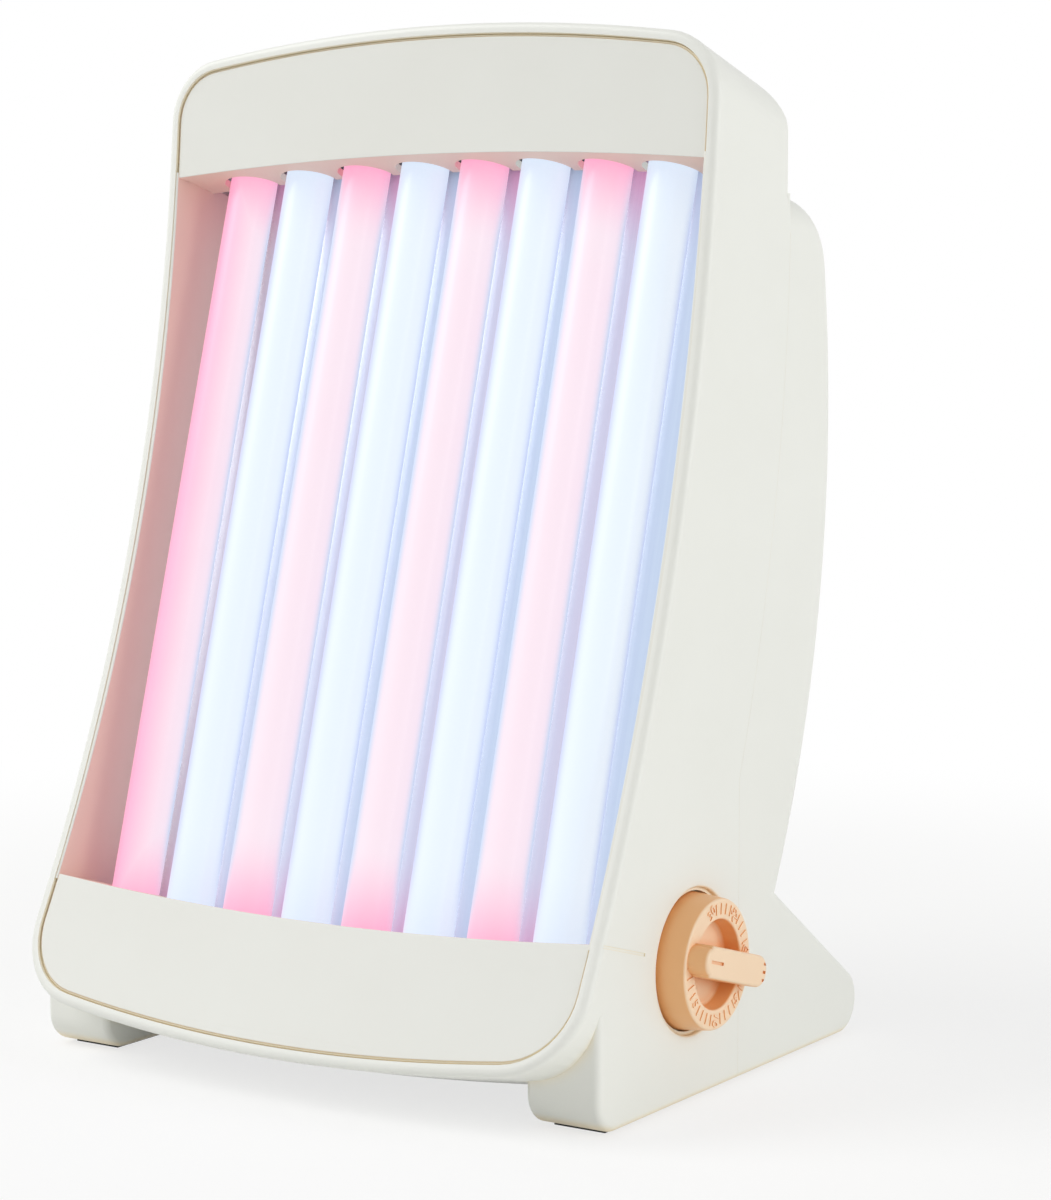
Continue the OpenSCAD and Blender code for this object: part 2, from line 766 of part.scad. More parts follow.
// Terminal block with a row of wire holes
terminal_screw_x = terminal_w / 2 - terminal_screw_inset;
module at_terminal() in_panel() translate([0, chassis_rear, terminal_v]) children();
module terminal_block() color("ivory") at_terminal() difference() {
    box(-terminal_w / 2, terminal_w / 2, 0, terminal_h, -terminal_d / 2, terminal_d / 2);
    for (k = [0:terminal_ways - 1])
        translate([(k - (terminal_ways - 1) / 2) * terminal_pitch, terminal_h / 2, 0])
            rod_z(wire_hole_d / 2, -terminal_d, terminal_d);
    for (s = [-1, 1])
        translate([s * terminal_screw_x, 0, 0]) {
            rod_y(screw_d / 2 + fit_gap, -1, terminal_h + 1);
            rod_y(screw_head_d / 2 + seat_gap, terminal_h / 2, terminal_h + 1);
        }
}
module terminal_screw_places() at_terminal()
    for (s = [-1, 1])
        translate([s * terminal_screw_x, terminal_h / 2, 0]) children();

// Cord gland: bush through the wall, with a flange outside and a collar inside
gland_sit = 0.15;
module cord_gland() color("dimgray") at_gland() difference() {
    union() {
        rod_y(gland_d / 2, hump_r - wall - gland_collar_t, hump_r + gland_sit);
        rod_y(gland_flange_d / 2, hump_r + gland_sit, hump_r + gland_sit + gland_flange_t);
        rod_y(gland_collar_d / 2, hump_r - wall - gland_sit - gland_collar_t, hump_r - wall - gland_sit);
    }
    rod_y(cord_d / 2, hump_r - gland_bore_run, hump_r + gland_bore_run);
}

module rubber_feet() color("dimgray") pads(0);

// Clockwork timer behind the recess
module at_arbor() rotate([arbor_angle, 0, 0]) translate([0, arbor_span, 0]) children();
module timer_front_plate() color("silver") at_knob() difference() {
    box(plate_x, cup_x, -case_w / 2, case_w / 2, -case_w / 2, case_w / 2);
    rod_x(shaft_d / 2 + joint_gap, 0, far);
    at_arbor() rod_x(arbor_d / 2 + joint_gap, 0, far);
    for (s = [-1, 1])
        translate([0, 0, s * timer_screw_r])
            rod_x(screw_d / 2 + joint_gap, 0, far);
}
module timer_case() color("white") at_knob() difference() {
    box(case_x, plate_x, -case_w / 2, case_w / 2, -case_w / 2, case_w / 2);
    box(case_x + case_t, far, case_t - case_w / 2, case_w / 2 - case_t,
        case_t - case_w / 2, case_w / 2 - case_t);
    rod_x(journal_d / 2 + joint_gap, 0, far);
    at_arbor() rod_x(arbor_d / 2 + joint_gap, 0, far);
}
contact_t = 0.5;
contact_gap = 0.5;
contact_block = 7;
contact_over = 1;
module timer_contacts() color("goldenrod") at_knob() {
    wall_z = case_t - case_w / 2;
    box(cam_x - contact_over, cam_x + cam_t + contact_over, -contact_block, contact_block,
        wall_z, -cam_r - 2 * contact_gap - contact_t);
    box(cam_x, cam_x + cam_t, -contact_block, contact_block,
        -cam_r - 2 * contact_gap - contact_t, -cam_r - contact_gap);
}
module timer_shaft() color("silver") at_knob() {
    rod_x(journal_d / 2, case_x + fit_gap, case_x + case_t + run_gap);
    rod_x(shaft_d / 2, case_x + case_t + run_gap, shaft_end_x);
}
// Straight-sided clock teeth with play between the flanks
root_depth = 1.15;
tip_height = 0.85;
tooth_root = 0.3;
tooth_tip = 0.09;
function gear_outline(n, turn) =
    let (r = gear_module * n / 2, p = 360 / n)
    [
        for (k = [0:n - 1])
            for (q = [[-tooth_root, -root_depth], [-tooth_tip, tip_height],
                      [tooth_tip, tip_height], [tooth_root, -root_depth]])
                let (a = turn + (k + q[0]) * p, d = r + q[1] * gear_module)
                [d * cos(a), d * sin(a)]
    ];
module timer_wheel() color("gold") at_knob() difference() {
    union() {
        along_x(gear_x, gear_x + gear_t) polygon(gear_outline(wheel_teeth, arbor_angle));
        rod_x(shaft_d / 2 + hub_wall, gear_x - hub_len, gear_x + gear_t);
    }
    rod_x(shaft_d / 2 + joint_gap / 2, 0, far);
}
module timer_cam() color("white") at_knob() difference() {
    union() {
        rod_x(cam_r, cam_x, cam_x + cam_t);
        rod_x(shaft_d / 2 + hub_wall, cam_x, gear_x - hub_len);
    }
    rod_x(shaft_d / 2 + joint_gap / 2, 0, far);
    translate([0, 0, -cam_r]) rod_x(cam_notch_r, 0, cam_x + cam_t + hub_len / 2);
}
module timer_escapement() color("gold") at_knob() at_arbor() {
    rod_x(arbor_d / 2, case_x + fit_gap, cup_x - fit_gap);
    rotate([-arbor_angle, 0, 0])
        along_x(gear_x - pinion_over, gear_x + gear_t + pinion_over)
            polygon(gear_outline(pinion_teeth, arbor_angle + 180 + 180 / pinion_teeth));
    rod_x(escape_r, escape_x, escape_x + escape_t);
}

// Knob: flared skirt, numbered face, dish and grip bar, with a hub on the shaft
module timer_knob() color("navajowhite") at_knob() difference() {
    base_r = knob_d / 2 + knob_flare;
    floor_x = knob_face_x - dish_depth;
    bar_end = knob_d / 2 - grip_t / 2;
    union() {
        difference() {
            rotate([0, 90, 0])
                rotate_extrude()
                    polygon([
                        [0, knob_base_x], [base_r, knob_base_x],
                        [knob_d / 2, knob_face_x], [0, knob_face_x]
                    ]);
            rod_x(dish_d / 2, floor_x, far);
            rod_x(dish_d / 2 + knob_t, 0, floor_x - knob_t);
        }
        rod_x(knob_hub_d / 2, knob_base_x, floor_x);
        for (s = [-1, 1])
            translate([0, s * bar_end, 0])
                rod_x(grip_t / 2, floor_x - knob_t / 2, knob_tip_x);
        box(floor_x - knob_t / 2, knob_tip_x, -bar_end, bar_end, -grip_t / 2, grip_t / 2);
    }
    rod_x(shaft_d / 2 + joint_gap / 2, 0, shaft_end_x + joint_gap);
}

// Screws
module casing_screws() color("silver") for (p = posts)
    translate([p[0], seam_y(p[1]) + grip_len, p[1]]) screw(casing_screw_len);
module chassis_screws() color("silver") chassis_screw_places() screw(seat_len);
module ballast_screws() color("silver") ballast_screw_places() screw(ballast_foot_t + chassis_t);
module timer_screws() color("silver") at_knob()
    for (s = [-1, 1])
        translate([recess_x, 0, s * timer_screw_r])
            rotate([0, 0, -90]) screw(timer_screw_len);
module terminal_screws() color("silver") terminal_screw_places() screw(terminal_h / 2 + chassis_t);

in_frame() front_casing();
in_frame() rear_casing();
in_frame() lamp_surround();
in_frame() reflector();
in_frame() chassis_plate();
in_frame() upper_holder_rail();
in_frame() lower_holder_rail();
in_frame() upper_lampholders();
in_frame() lower_lampholders();
for (i = [0:3]) {
    in_frame() red_tube(i);
    in_frame() uv_tube(i);
    in_frame() ballast(i);
}
in_frame() tube_caps();
in_frame() tube_pins();
in_frame() starter_sockets();
in_frame() starters();
in_frame() terminal_block();
in_frame() cord_gland();
in_frame() rubber_feet();
in_frame() timer_front_plate();
in_frame() timer_case();
in_frame() timer_contacts();
in_frame() timer_shaft();
in_frame() timer_wheel();
in_frame() timer_cam();
in_frame() timer_escapement();
in_frame() timer_knob();
in_frame() casing_screws();
in_frame() chassis_screws();
in_frame() ballast_screws();
in_frame() timer_screws();
in_frame() terminal_screws();
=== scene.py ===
import json
import math

import bmesh
import bpy
from mathutils import Euler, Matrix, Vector


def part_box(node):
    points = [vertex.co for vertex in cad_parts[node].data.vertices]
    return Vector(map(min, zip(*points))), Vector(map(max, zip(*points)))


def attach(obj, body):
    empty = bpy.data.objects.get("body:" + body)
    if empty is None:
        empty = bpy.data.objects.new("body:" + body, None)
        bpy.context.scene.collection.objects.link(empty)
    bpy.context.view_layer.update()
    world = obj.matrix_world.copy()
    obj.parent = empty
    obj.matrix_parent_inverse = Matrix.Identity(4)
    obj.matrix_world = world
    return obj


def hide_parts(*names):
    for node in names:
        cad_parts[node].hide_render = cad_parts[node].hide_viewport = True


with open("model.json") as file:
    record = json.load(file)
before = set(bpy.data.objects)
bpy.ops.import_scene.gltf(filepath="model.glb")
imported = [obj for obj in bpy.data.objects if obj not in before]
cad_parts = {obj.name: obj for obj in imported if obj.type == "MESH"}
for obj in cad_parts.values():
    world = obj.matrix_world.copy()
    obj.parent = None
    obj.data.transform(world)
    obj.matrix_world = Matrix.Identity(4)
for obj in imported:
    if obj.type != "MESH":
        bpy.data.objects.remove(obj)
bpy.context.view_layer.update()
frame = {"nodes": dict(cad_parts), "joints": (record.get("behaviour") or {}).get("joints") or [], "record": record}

# Sizes of the lamp, in metres
mm = 0.001
hair = 0.01 * mm
wall = 2.6 * mm

# The leaning panel: x across, w back from the tubes' plane, v up along the tubes
tilt = math.radians(15.7)
half_w = 109 * mm
top_v = 167 * mm
low_v = 169.5 * mm
light_half = 126 * mm
crown_r = 650 * mm
sole_r = 620 * mm
corner_top_r = 21 * mm
corner_low_r = 27 * mm
face_r = 690 * mm
face_gap = 6.1 * mm
rim_w = 3.7 * mm
rim_edge_r = 2.6 * mm
lip_h = 15.3 * mm
casing_deep = 150 * mm


def face_w(v):
    """How far the concave front face stands before the tubes' plane at height v."""
    return face_gap + face_r - math.sqrt(face_r * face_r - v * v)


panel_h = lip_h + low_v * math.cos(tilt) - face_w(low_v) * math.sin(tilt)
lip_y = -low_v * math.sin(tilt) - face_w(low_v) * math.cos(tilt)

# The casing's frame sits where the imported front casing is
front_low, front_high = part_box("front_casing")
origin = Vector(((front_low.x + front_high.x) / 2, front_low.y - lip_y, 0))
panel_origin = origin + Vector((0, 0, panel_h))

# Side view of the casing: y back, z up
underside_h = 9 * mm
casing_top = panel_h + top_v * math.cos(tilt) + face_w(top_v) * math.sin(tilt)
hump_top = casing_top - 56 * mm
rear_y = 65.5 * mm
back_edge_r = 3 * mm
rear_edge_r = 30 * mm
rear_turn = math.pi / 2 - tilt
rear_edge_y = rear_y - rear_edge_r
roof_v = top_v + 0.5 * mm
rear_edge_z = panel_h + (roof_v - rear_edge_r - rear_edge_y * math.sin(tilt)) / math.cos(tilt)
seam_r = 560 * mm
seam_drop = 184.95 * mm
seam_turn = math.asin(seam_drop / seam_r)
seam_low_z = hump_top - seam_drop
seam_low_y = rear_y - seam_r + math.sqrt(seam_r * seam_r - seam_drop * seam_drop)
seam_gap = 0.06 * mm
hump_y = -255 * mm
hump_z = hump_top - 73 * mm
hump_r = 357 * mm
hump_top_r = 24 * mm
hump_edge_r = 12 * mm
hump_front = -20 * mm
hump_over = 30 * mm

# How far the forms that cut the casings run past them
far_x = 150 * mm
far_y = 200 * mm
far_low = -100 * mm
far_high = 400 * mm
roof_reach = 220 * mm
cut_over = 9 * mm

# Feet
foot_in = 82.8 * mm
sole_z = 1 * mm
toe_y = -50.09 * mm
toe_r = 10 * mm
tip_y = 107.4 * mm
tip_r = 11 * mm
foot_slope = math.radians(34)
foot_top = 75 * mm
foot_edge_r = 2.2 * mm
instep = (-25 * mm, 62 * mm)
toe_top = 38 * mm

# Tubes and light opening
tube_count = 8
tube_pitch = 24 * mm
tube_r = 8 * mm
tube_end_r = 2.5 * mm
glass_half = 133 * mm
arch_r = 1180 * mm
groove_w = 0.6 * mm
plate_t = 2.4 * mm
plate_back = 0.8 * mm
plate_edge_r = 0.4 * mm
flange_t = 1.2 * mm
flange_back = 1.25 * mm
flange_gap = 0.05 * mm
flange_over = 1 * mm
scallop_r = 10 * mm
scallop_from = 110 * mm
scallop_to = 140 * mm
cover_rows = [v * mm for v in range(122, 163, 4)]
lip_front = 2 * mm
lip_back = 2 * mm
cheek_in = 102.7 * mm
cheek_out = 105.25 * mm
cheek_back = 14.5 * mm
cheek_front = 0.35 * mm
cheek_half = 123 * mm
cheek_edge_r = 0.4 * mm
cheek_draft = math.radians(3.1)

# Timer knob
knob_joint = next(joint for joint in frame["joints"] if joint["name"] == "timer_turn")
knob_at = Vector(knob_joint["pos_m"])
recess_r = 22 * mm
step_r = 23 * mm
step_x = 107.5 * mm
recess_x = 104 * mm
mouth_r = 0.9 * mm
cup_r = 24.35 * mm
cup_t = 2 * mm
shaft_hole_r = 3.6 * mm
knob_base_x = 104.6 * mm
knob_base_r = 21.6 * mm
knob_face_x = 117.4 * mm
knob_face_r = 20.5 * mm
knob_edge_r = 0.9 * mm
skirt_edge = 0.6 * mm
dish_r = 14 * mm
dish_depth = 6 * mm
dish_edge_r = 0.7 * mm
dish_floor_r = 1.2 * mm
dish_floor_in = 1.5 * mm
knob_t = 2 * mm
hub_r = 5.5 * mm
grip_t = 10 * mm
grip_end_r = grip_t / 2 * 0.98
grip_x = 124 * mm
grip_sunk = 0.5 * mm
grip_edge_r = 1.2 * mm
grip_over = 2 * mm


def tube_x(k):
    """How far across the panel the middle of tube k stands, from the left."""
    return (k - (tube_count - 1) / 2) * tube_pitch


# Modelling helpers
def only(piece):
    """Selects one piece and makes it active."""
    bpy.ops.object.select_all(action="DESELECT")
    piece.select_set(True)
    bpy.context.view_layer.objects.active = piece


def edit(piece):
    """Opens a piece in edit mode with all of it selected."""
    only(piece)
    bpy.ops.object.mode_set(mode="EDIT")
    bpy.ops.mesh.select_all(action="SELECT")


def leave():
    """Goes back to object mode."""
    bpy.ops.object.mode_set(mode="OBJECT")


def named(name):
    """Names the piece that was just made."""
    piece = bpy.context.object
    piece.name = name
    piece.data.name = name
    return piece


def outward(piece):
    """Turns a shell's faces outwards."""
    edit(piece)
    bpy.ops.mesh.normals_make_consistent(inside=False)
    leave()


def pick_edges(piece, wanted):
    """Selects the edges whose two ends and two faces the test wants."""
    bpy.ops.mesh.select_mode(type="EDGE")
    bpy.ops.mesh.select_all(action="DESELECT")
    mesh = bmesh.from_edit_mesh(piece.data)
    mesh.normal_update()
    for edge in mesh.edges:
        if len(edge.link_faces) == 2:
            edge.select_set(wanted(edge))
    bmesh.update_edit_mesh(piece.data)


def modifier(piece, kind, **settings):
    """Adds a modifier with its settings and applies it."""
    only(piece)
    added = piece.modifiers.new(kind.title(), kind)
    for key, value in settings.items():
        setattr(added, key, value)
    bpy.ops.object.modifier_apply(modifier=added.name)


def cut(piece, tool, how="DIFFERENCE"):
    """Cuts a tool out of a piece, or joins or intersects the two, and removes the tool."""
    modifier(piece, "BOOLEAN", object=tool, operation=how, solver="EXACT")
    edit(piece)
    bpy.ops.mesh.remove_doubles(threshold=0.004 * mm)
    leave()
    bpy.data.objects.remove(tool)


def place(piece, turn=(0, 0, 0), at=(0, 0, 0)):
    """Turns and moves a piece for good."""
    only(piece)
    piece.rotation_euler = turn
    piece.location = at
    bpy.ops.object.transform_apply(location=True, rotation=True, scale=True)


def to_panel(piece):
    """Moves a piece drawn upright on to the leaning panel."""
    place(piece, (-tilt, 0, 0), panel_origin)


def copy(piece, name):
    """A copy of a piece under another name."""
    only(piece)
    bpy.ops.object.duplicate(linked=False)
    return named(name)


def mirrored(piece, name, centre_x):
    """A copy of a piece on the other side of the plane at centre_x."""
    twin = copy(piece, name)
    twin.scale = (-1, 1, 1)
    twin.location = (2 * centre_x, 0, 0)
    bpy.ops.object.transform_apply(location=True, rotation=True, scale=True)
    outward(twin)
    return twin


def first_point(name, x, z):
    """A single point in the x-z plane to draw on from, in edit mode."""
    bpy.ops.object.select_all(action="DESELECT")
    bpy.ops.mesh.primitive_plane_add(size=mm)
    piece = named(name)
    edit(piece)
    bpy.ops.mesh.select_mode(type="VERT")
    bpy.ops.mesh.merge(type="CENTER")
    bpy.ops.transform.translate(value=(x, 0, z))
    return piece


def trace(name, start, strokes):
    """Draws a closed outline in the x-z plane stroke by stroke and fills it.

    A stroke is (point, steps) for a straight run, or (centre, turn, steps) for an arc, whose turn in
    radians is counter-clockwise as seen from the front."""
    piece = first_point(name, start[0], start[1])
    pen = Vector((start[0], start[1]))
    for stroke in strokes:
        if len(stroke) == 2:
            point, steps = Vector(stroke[0]), stroke[1]
            step = (point - pen) / steps
            for _ in range(steps):
                bpy.ops.mesh.extrude_region_move(TRANSFORM_OT_translate={"value": (step.x, 0, step.y)})
            pen = point
        else:
            centre, turn, steps = Vector(stroke[0]), stroke[1], stroke[2]
            bpy.ops.mesh.spin(steps=steps, angle=turn, center=(centre.x, 0, centre.y), axis=(0, 1, 0))
            arm = pen - centre
            pen = centre + Vector((arm.x * math.cos(turn) - arm.y * math.sin(turn),
                                   arm.x * math.sin(turn) + arm.y * math.cos(turn)))
    bpy.ops.mesh.select_all(action="SELECT")
    bpy.ops.mesh.remove_doubles(threshold=hair)
    bpy.ops.mesh.edge_face_add()
    leave()
    return piece


def thick(piece, depth):
    """Gives a traced sheet depth behind its plane."""
    outward(piece)
    modifier(piece, "SOLIDIFY", thickness=depth, offset=0)
    place(piece, at=(0, depth / 2, 0))
    outward(piece)


corner_top_x = half_w - corner_top_r
corner_low_x = half_w - corner_low_r
crown_z = top_v - crown_r
sole_centre_z = sole_r - low_v
corner_top_z = crown_z + math.sqrt((crown_r - corner_top_r) ** 2 - corner_top_x ** 2)
corner_low_z = sole_centre_z - math.sqrt((sole_r - corner_low_r) ** 2 - corner_low_x ** 2)
corner_top_turn = math.atan2(corner_top_z - crown_z, corner_top_x)
corner_low_turn = math.atan2(sole_centre_z - corner_low_z, corner_low_x)


def casing_outline(name, inset, rows=1):
    """The casing's front outline, with its straight sides moved in and cut into rows."""
    x = half_w - inset
    return trace(name, (x, corner_low_z), [
        ((x, corner_top_z), rows),
        ((corner_top_x, corner_top_z), corner_top_turn, 10),
        ((0, crown_z), math.pi - 2 * corner_top_turn, 36),
        ((-corner_top_x, corner_top_z), corner_top_turn, 10),
        ((-x, corner_low_z), rows),
        ((-corner_low_x, corner_low_z), corner_low_turn, 10),
        ((0, sole_centre_z), math.pi - 2 * corner_low_turn, 36),
        ((corner_low_x, corner_low_z), corner_low_turn, 10)])


def shift_rows(piece, wanted, offset):
    """Moves each level row of the wanted points forward or back by the offset at its height."""
    edit(piece)
    bpy.ops.mesh.select_mode(type="VERT")
    bpy.ops.mesh.select_all(action="DESELECT")
    mesh = bmesh.from_edit_mesh(piece.data)
    rows = {}
    for vert in mesh.verts:
        if wanted(vert.co):
            rows.setdefault(round(vert.co.z, 6), []).append(vert.index)
    for height, members in rows.items():
        bpy.ops.mesh.select_all(action="DESELECT")
        mesh = bmesh.from_edit_mesh(piece.data)
        mesh.verts.ensure_lookup_table()
        for index in members:
            mesh.verts[index].select_set(True)
        bmesh.update_edit_mesh(piece.data)
        bpy.ops.transform.translate(value=(0, offset(height), 0))
    leave()


def across(piece, x0, x1):
    """Stands a traced side view up along the casing's depth, from x0 to x1."""
    thick(piece, x1 - x0)
    place(piece, (0, 0, math.pi / 2), (x1, 0, 0))


def bevel(piece, width, steps, wanted):
    """Rounds the edges that the test wants."""
    edit(piece)
    pick_edges(piece, wanted)
    bpy.ops.mesh.bevel(offset=width, segments=steps, affect="EDGES")
    leave()


def near(value, target):
    """Whether two values agree to a hair."""
    return abs(value - target) < hair


def ends_at_x(edge, x):
    """Whether both ends of an edge lie at x."""
    return all(near(vert.co.x, x) for vert in edge.verts)


def runs_along(edge, axis):
    """Whether an edge runs along one axis: 0 for x, 1 for y, 2 for z."""
    start, end = (vert.co for vert in edge.verts)
    return all(near(start[k], end[k]) for k in range(3) if k != axis)


def is_corner(edge):
    """Whether two faces meet at a plain corner, not in a facet of a curve."""
    return edge.calc_face_angle(0) > 0.9


def join(pieces):
    """Joins pieces into the first of them."""
    only(pieces[0])
    for piece in pieces:
        piece.select_set(True)
    bpy.ops.object.join()
    return bpy.context.object


def rod(name, radius, start, end, sides=48):
    """A round bar between two points."""
    start, end = Vector(start), Vector(end)
    bpy.ops.object.select_all(action="DESELECT")
    bpy.ops.mesh.primitive_cylinder_add(vertices=sides, radius=radius, depth=(end - start).length)
    piece = named(name)
    place(piece, (end - start).to_track_quat("Z", "Y").to_euler(), (start + end) / 2)
    return piece


def block(name, low, high):
    """A box between two corners."""
    low, high = Vector(low), Vector(high)
    bpy.ops.object.select_all(action="DESELECT")
    bpy.ops.mesh.primitive_cube_add(size=1, location=(low + high) / 2, scale=high - low)
    piece = named(name)
    place(piece, at=piece.location)
    return piece


def turned(name, profile, steps=64):
    """Spins a profile of (along, radius) points about the x axis."""
    piece = first_point(name, profile[0][0], profile[0][1])
    for (x0, r0), (x1, r1) in zip(profile, profile[1:]):
        bpy.ops.mesh.extrude_region_move(TRANSFORM_OT_translate={"value": (x1 - x0, 0, r1 - r0)})
    bpy.ops.mesh.select_all(action="SELECT")
    bpy.ops.mesh.spin(steps=steps, angle=2 * math.pi, center=(0, 0, 0), axis=(1, 0, 0))
    bpy.ops.mesh.select_all(action="SELECT")
    bpy.ops.mesh.remove_doubles(threshold=0.005 * mm)
    bpy.ops.mesh.normals_make_consistent(inside=False)
    leave()
    return piece


def fillet(centre, radius, start, end, steps=5):
    """Points of a small arc, from one angle to another in degrees."""
    return [(centre[0] + radius * math.cos(math.radians(start + (end - start) * k / steps)),
             centre[1] + radius * math.sin(math.radians(start + (end - start) * k / steps)))
            for k in range(steps + 1)]


def smooth(piece, degrees=35):
    """Smooth curves, crisp edges, and flat faces kept flat."""
    only(piece)
    bpy.ops.object.shade_smooth_by_angle(angle=math.radians(degrees))
    modifier(piece, "WEIGHTED_NORMAL", keep_sharp=True, weight=80)


# Feet: one outline from toe to heel, with soft edges, cut in two at the seam
heel = Vector((tip_y + tip_r * math.sin(foot_slope), sole_z + tip_r + tip_r * math.cos(foot_slope)))
slope_end = Vector((heel.x - (foot_top - heel.y) / math.tan(foot_slope), foot_top))
foot = trace("foot", (toe_y + toe_r, sole_z), [
    ((tip_y, sole_z), 1),
    ((tip_y, sole_z + tip_r), math.pi - foot_slope, 14),
    (slope_end, 1),
    (instep, 1),
    ((toe_y, toe_top), 1),
    ((toe_y, sole_z + toe_r), 1),
    ((toe_y + toe_r, sole_z + toe_r), math.pi / 2, 8)])
across(foot, foot_in, half_w)
bevel(foot, foot_edge_r, 5, lambda edge: ends_at_x(edge, half_w))
bevel(foot, foot_edge_r, 5, lambda edge: ends_at_x(edge, foot_in))


def foot_part(name, ahead):
    """The part of both feet before or behind the seam."""
    part = copy(foot, name)
    cut_y = seam_low_y + (0 if ahead else seam_gap)
    edit(part)
    bpy.ops.mesh.bisect(plane_co=(0, cut_y, 0), plane_no=(0, 1, 0), use_fill=True,
                        clear_outer=ahead, clear_inner=not ahead)
    leave()
    return part, mirrored(part, name + "_left", 0)


# Front casing: a deep frame with a concave face and a soft outer edge
casing = casing_outline("casing_front", 0, 26)
face_inset = 6 * mm
edit(casing)
bpy.ops.mesh.normals_make_consistent(inside=False)
bpy.ops.mesh.inset(thickness=face_inset, use_boundary=True)
leave()
thick(casing, casing_deep)


def on_rim(edge):
    """The outer edge of the front face."""
    return (all(near(vert.co.y, 0) for vert in edge.verts)
            and sum(abs(face.normal.y) for face in edge.link_faces) < 1.5)


bevel(casing, rim_edge_r, 6, on_rim)
rim_deep = 4 * mm
shift_rows(casing, lambda co: co.y < rim_deep, lambda v: -face_w(v))
edit(casing)
bpy.ops.mesh.quads_convert_to_tris()
leave()
place(casing, (-tilt, 0, 0), (0, 0, panel_h))


def roof_end(radius):
    """Where the roof runs out ahead, from the end of an arc round the top of the back."""
    arc_end = Vector((rear_edge_y + radius * math.cos(rear_turn), rear_edge_z + radius * math.sin(rear_turn)))
    return arc_end + Vector((-roof_reach * math.cos(tilt), roof_reach * math.sin(tilt)))


# Its side view: flat underneath, the seam's curve, and the rounded edge at the top of the back
roof = roof_end(rear_edge_r)
side = trace("casing_side", (-far_y, underside_h), [
    ((seam_low_y, underside_h), 1),
    ((seam_low_y, seam_low_z), 1),
    ((rear_y - seam_r, hump_top), seam_turn, 24),
    ((rear_y, rear_edge_z), 1),
    ((rear_edge_y, rear_edge_z), rear_turn, 16),
    (roof, 1),
    ((-far_y, roof.y), 1)])
side_over = 0.02 * mm
side_x = half_w + side_over
across(side, -side_x, side_x)


def on_back_edge(edge):
    """The left and right edges of the back and of its rounded top, above the hump."""
    if not (ends_at_x(edge, side_x) or ends_at_x(edge, -side_x)):
        return False
    return all(vert.co.z > hump_top - hair for vert in edge.verts) and any(
        face.normal.y > 0.05 and abs(face.normal.x) < 0.1 for face in edge.link_faces)


bevel(side, back_edge_r, 5, on_back_edge)
cut(casing, side, "INTERSECT")
for part in foot_part("foot_front", True):
    cut(casing, part, "UNION")

# Hollow: the room behind the opening, which runs out past the seam
room = casing_outline("room", wall)
thick(room, casing_deep)
place(room, (-tilt, 0, 0), (0, 0, panel_h))
room_over = 5 * mm
roof_in = roof_end(rear_edge_r - wall)
room_side = trace("room_side", (-far_y, underside_h + wall), [
    ((seam_low_y + room_over, underside_h + wall), 1),
    ((seam_low_y + room_over, seam_low_z), 1),
    ((rear_y + room_over, hump_top - wall), 1),
    ((rear_y - wall, hump_top - wall), 1),
    ((rear_y - wall, rear_edge_z), 1),
    ((rear_edge_y, rear_edge_z), rear_turn, 16),
    (roof_in, 1),
    ((-far_y, roof_in.y), 1)])
across(room_side, -far_x, far_x)
cut(room, room_side, "INTERSECT")
knob_y = knob_at.y - origin.y
knob_z = knob_at.z
cut(room, rod("cup", cup_r, (recess_x - cup_t, knob_y, knob_z), (half_w, knob_y, knob_z), 96))
cut(casing, room)

# Webs that close the casing's back beside the hump's round upper corners
web_w = hump_edge_r + wall
web_x = half_w - 0.1 * mm
web_front = rear_y - 1.5 * wall
web_back = rear_y - 0.3 * mm
web_top = hump_top + 0.05 * mm
for x in (-web_x, web_x - web_w):
    web = block("corner_web", (x, web_front, hump_top - web_w), (x + web_w, web_back, web_top))
    cut(casing, web, "UNION")

# The opening inside the rim
opening_ahead = 80 * mm
opening_deep = 80.5 * mm
opening = casing_outline("opening", rim_w)
thick(opening, opening_deep)
place(opening, at=(0, -opening_ahead, 0))
place(opening, (-tilt, 0, 0), (0, 0, panel_h))
cut(casing, opening)

# Round stepped recess for the knob, with a soft mouth, and the index groove before it
recess = turned("recess", [(recess_x, 0), (recess_x, recess_r), (step_x, recess_r), (step_x, step_r)]
                + fillet((half_w - mouth_r, step_r + mouth_r), mouth_r, 270, 360)
                + [(half_w + cut_over, step_r + mouth_r), (half_w + cut_over, 0)], 96)
place(recess, at=(0, knob_y, knob_z))
cut(casing, recess)
shaft_from = (recess_x - cut_over, knob_y, knob_z)
cut(casing, rod("shaft_hole", shaft_hole_r, shaft_from, (half_w, knob_y, knob_z)))
index_v = -121.4 * mm
index_half = 0.5 * mm
index_deep = 0.3 * mm
index_front = -60 * mm
index_back = 9.2 * mm
index_over = 5 * mm
groove = block("index_groove", (half_w - index_deep, index_front, index_v - index_half),
               (half_w + index_over, index_back, index_v + index_half))
place(groove, (-tilt, 0, 0), (0, 0, panel_h))
cut(casing, groove)
place(casing, at=origin)
back_way = Vector((0, math.cos(tilt), -math.sin(tilt)))


def on_top_fold(edge):
    """Where the arched top and its corners run out into the rounded top of the back."""
    ways = sorted(face.normal.dot(back_way) for face in edge.link_faces)
    above = all(vert.co.z > hump_top for vert in edge.verts)
    beside = any(abs(face.normal.x) >= 0.95 for face in edge.link_faces)
    return abs(ways[0]) < 0.02 and ways[1] > 0.1 and above and not beside


edit(casing)
pick_edges(casing, on_top_fold)
bpy.ops.mesh.mark_sharp()
leave()
smooth(casing)


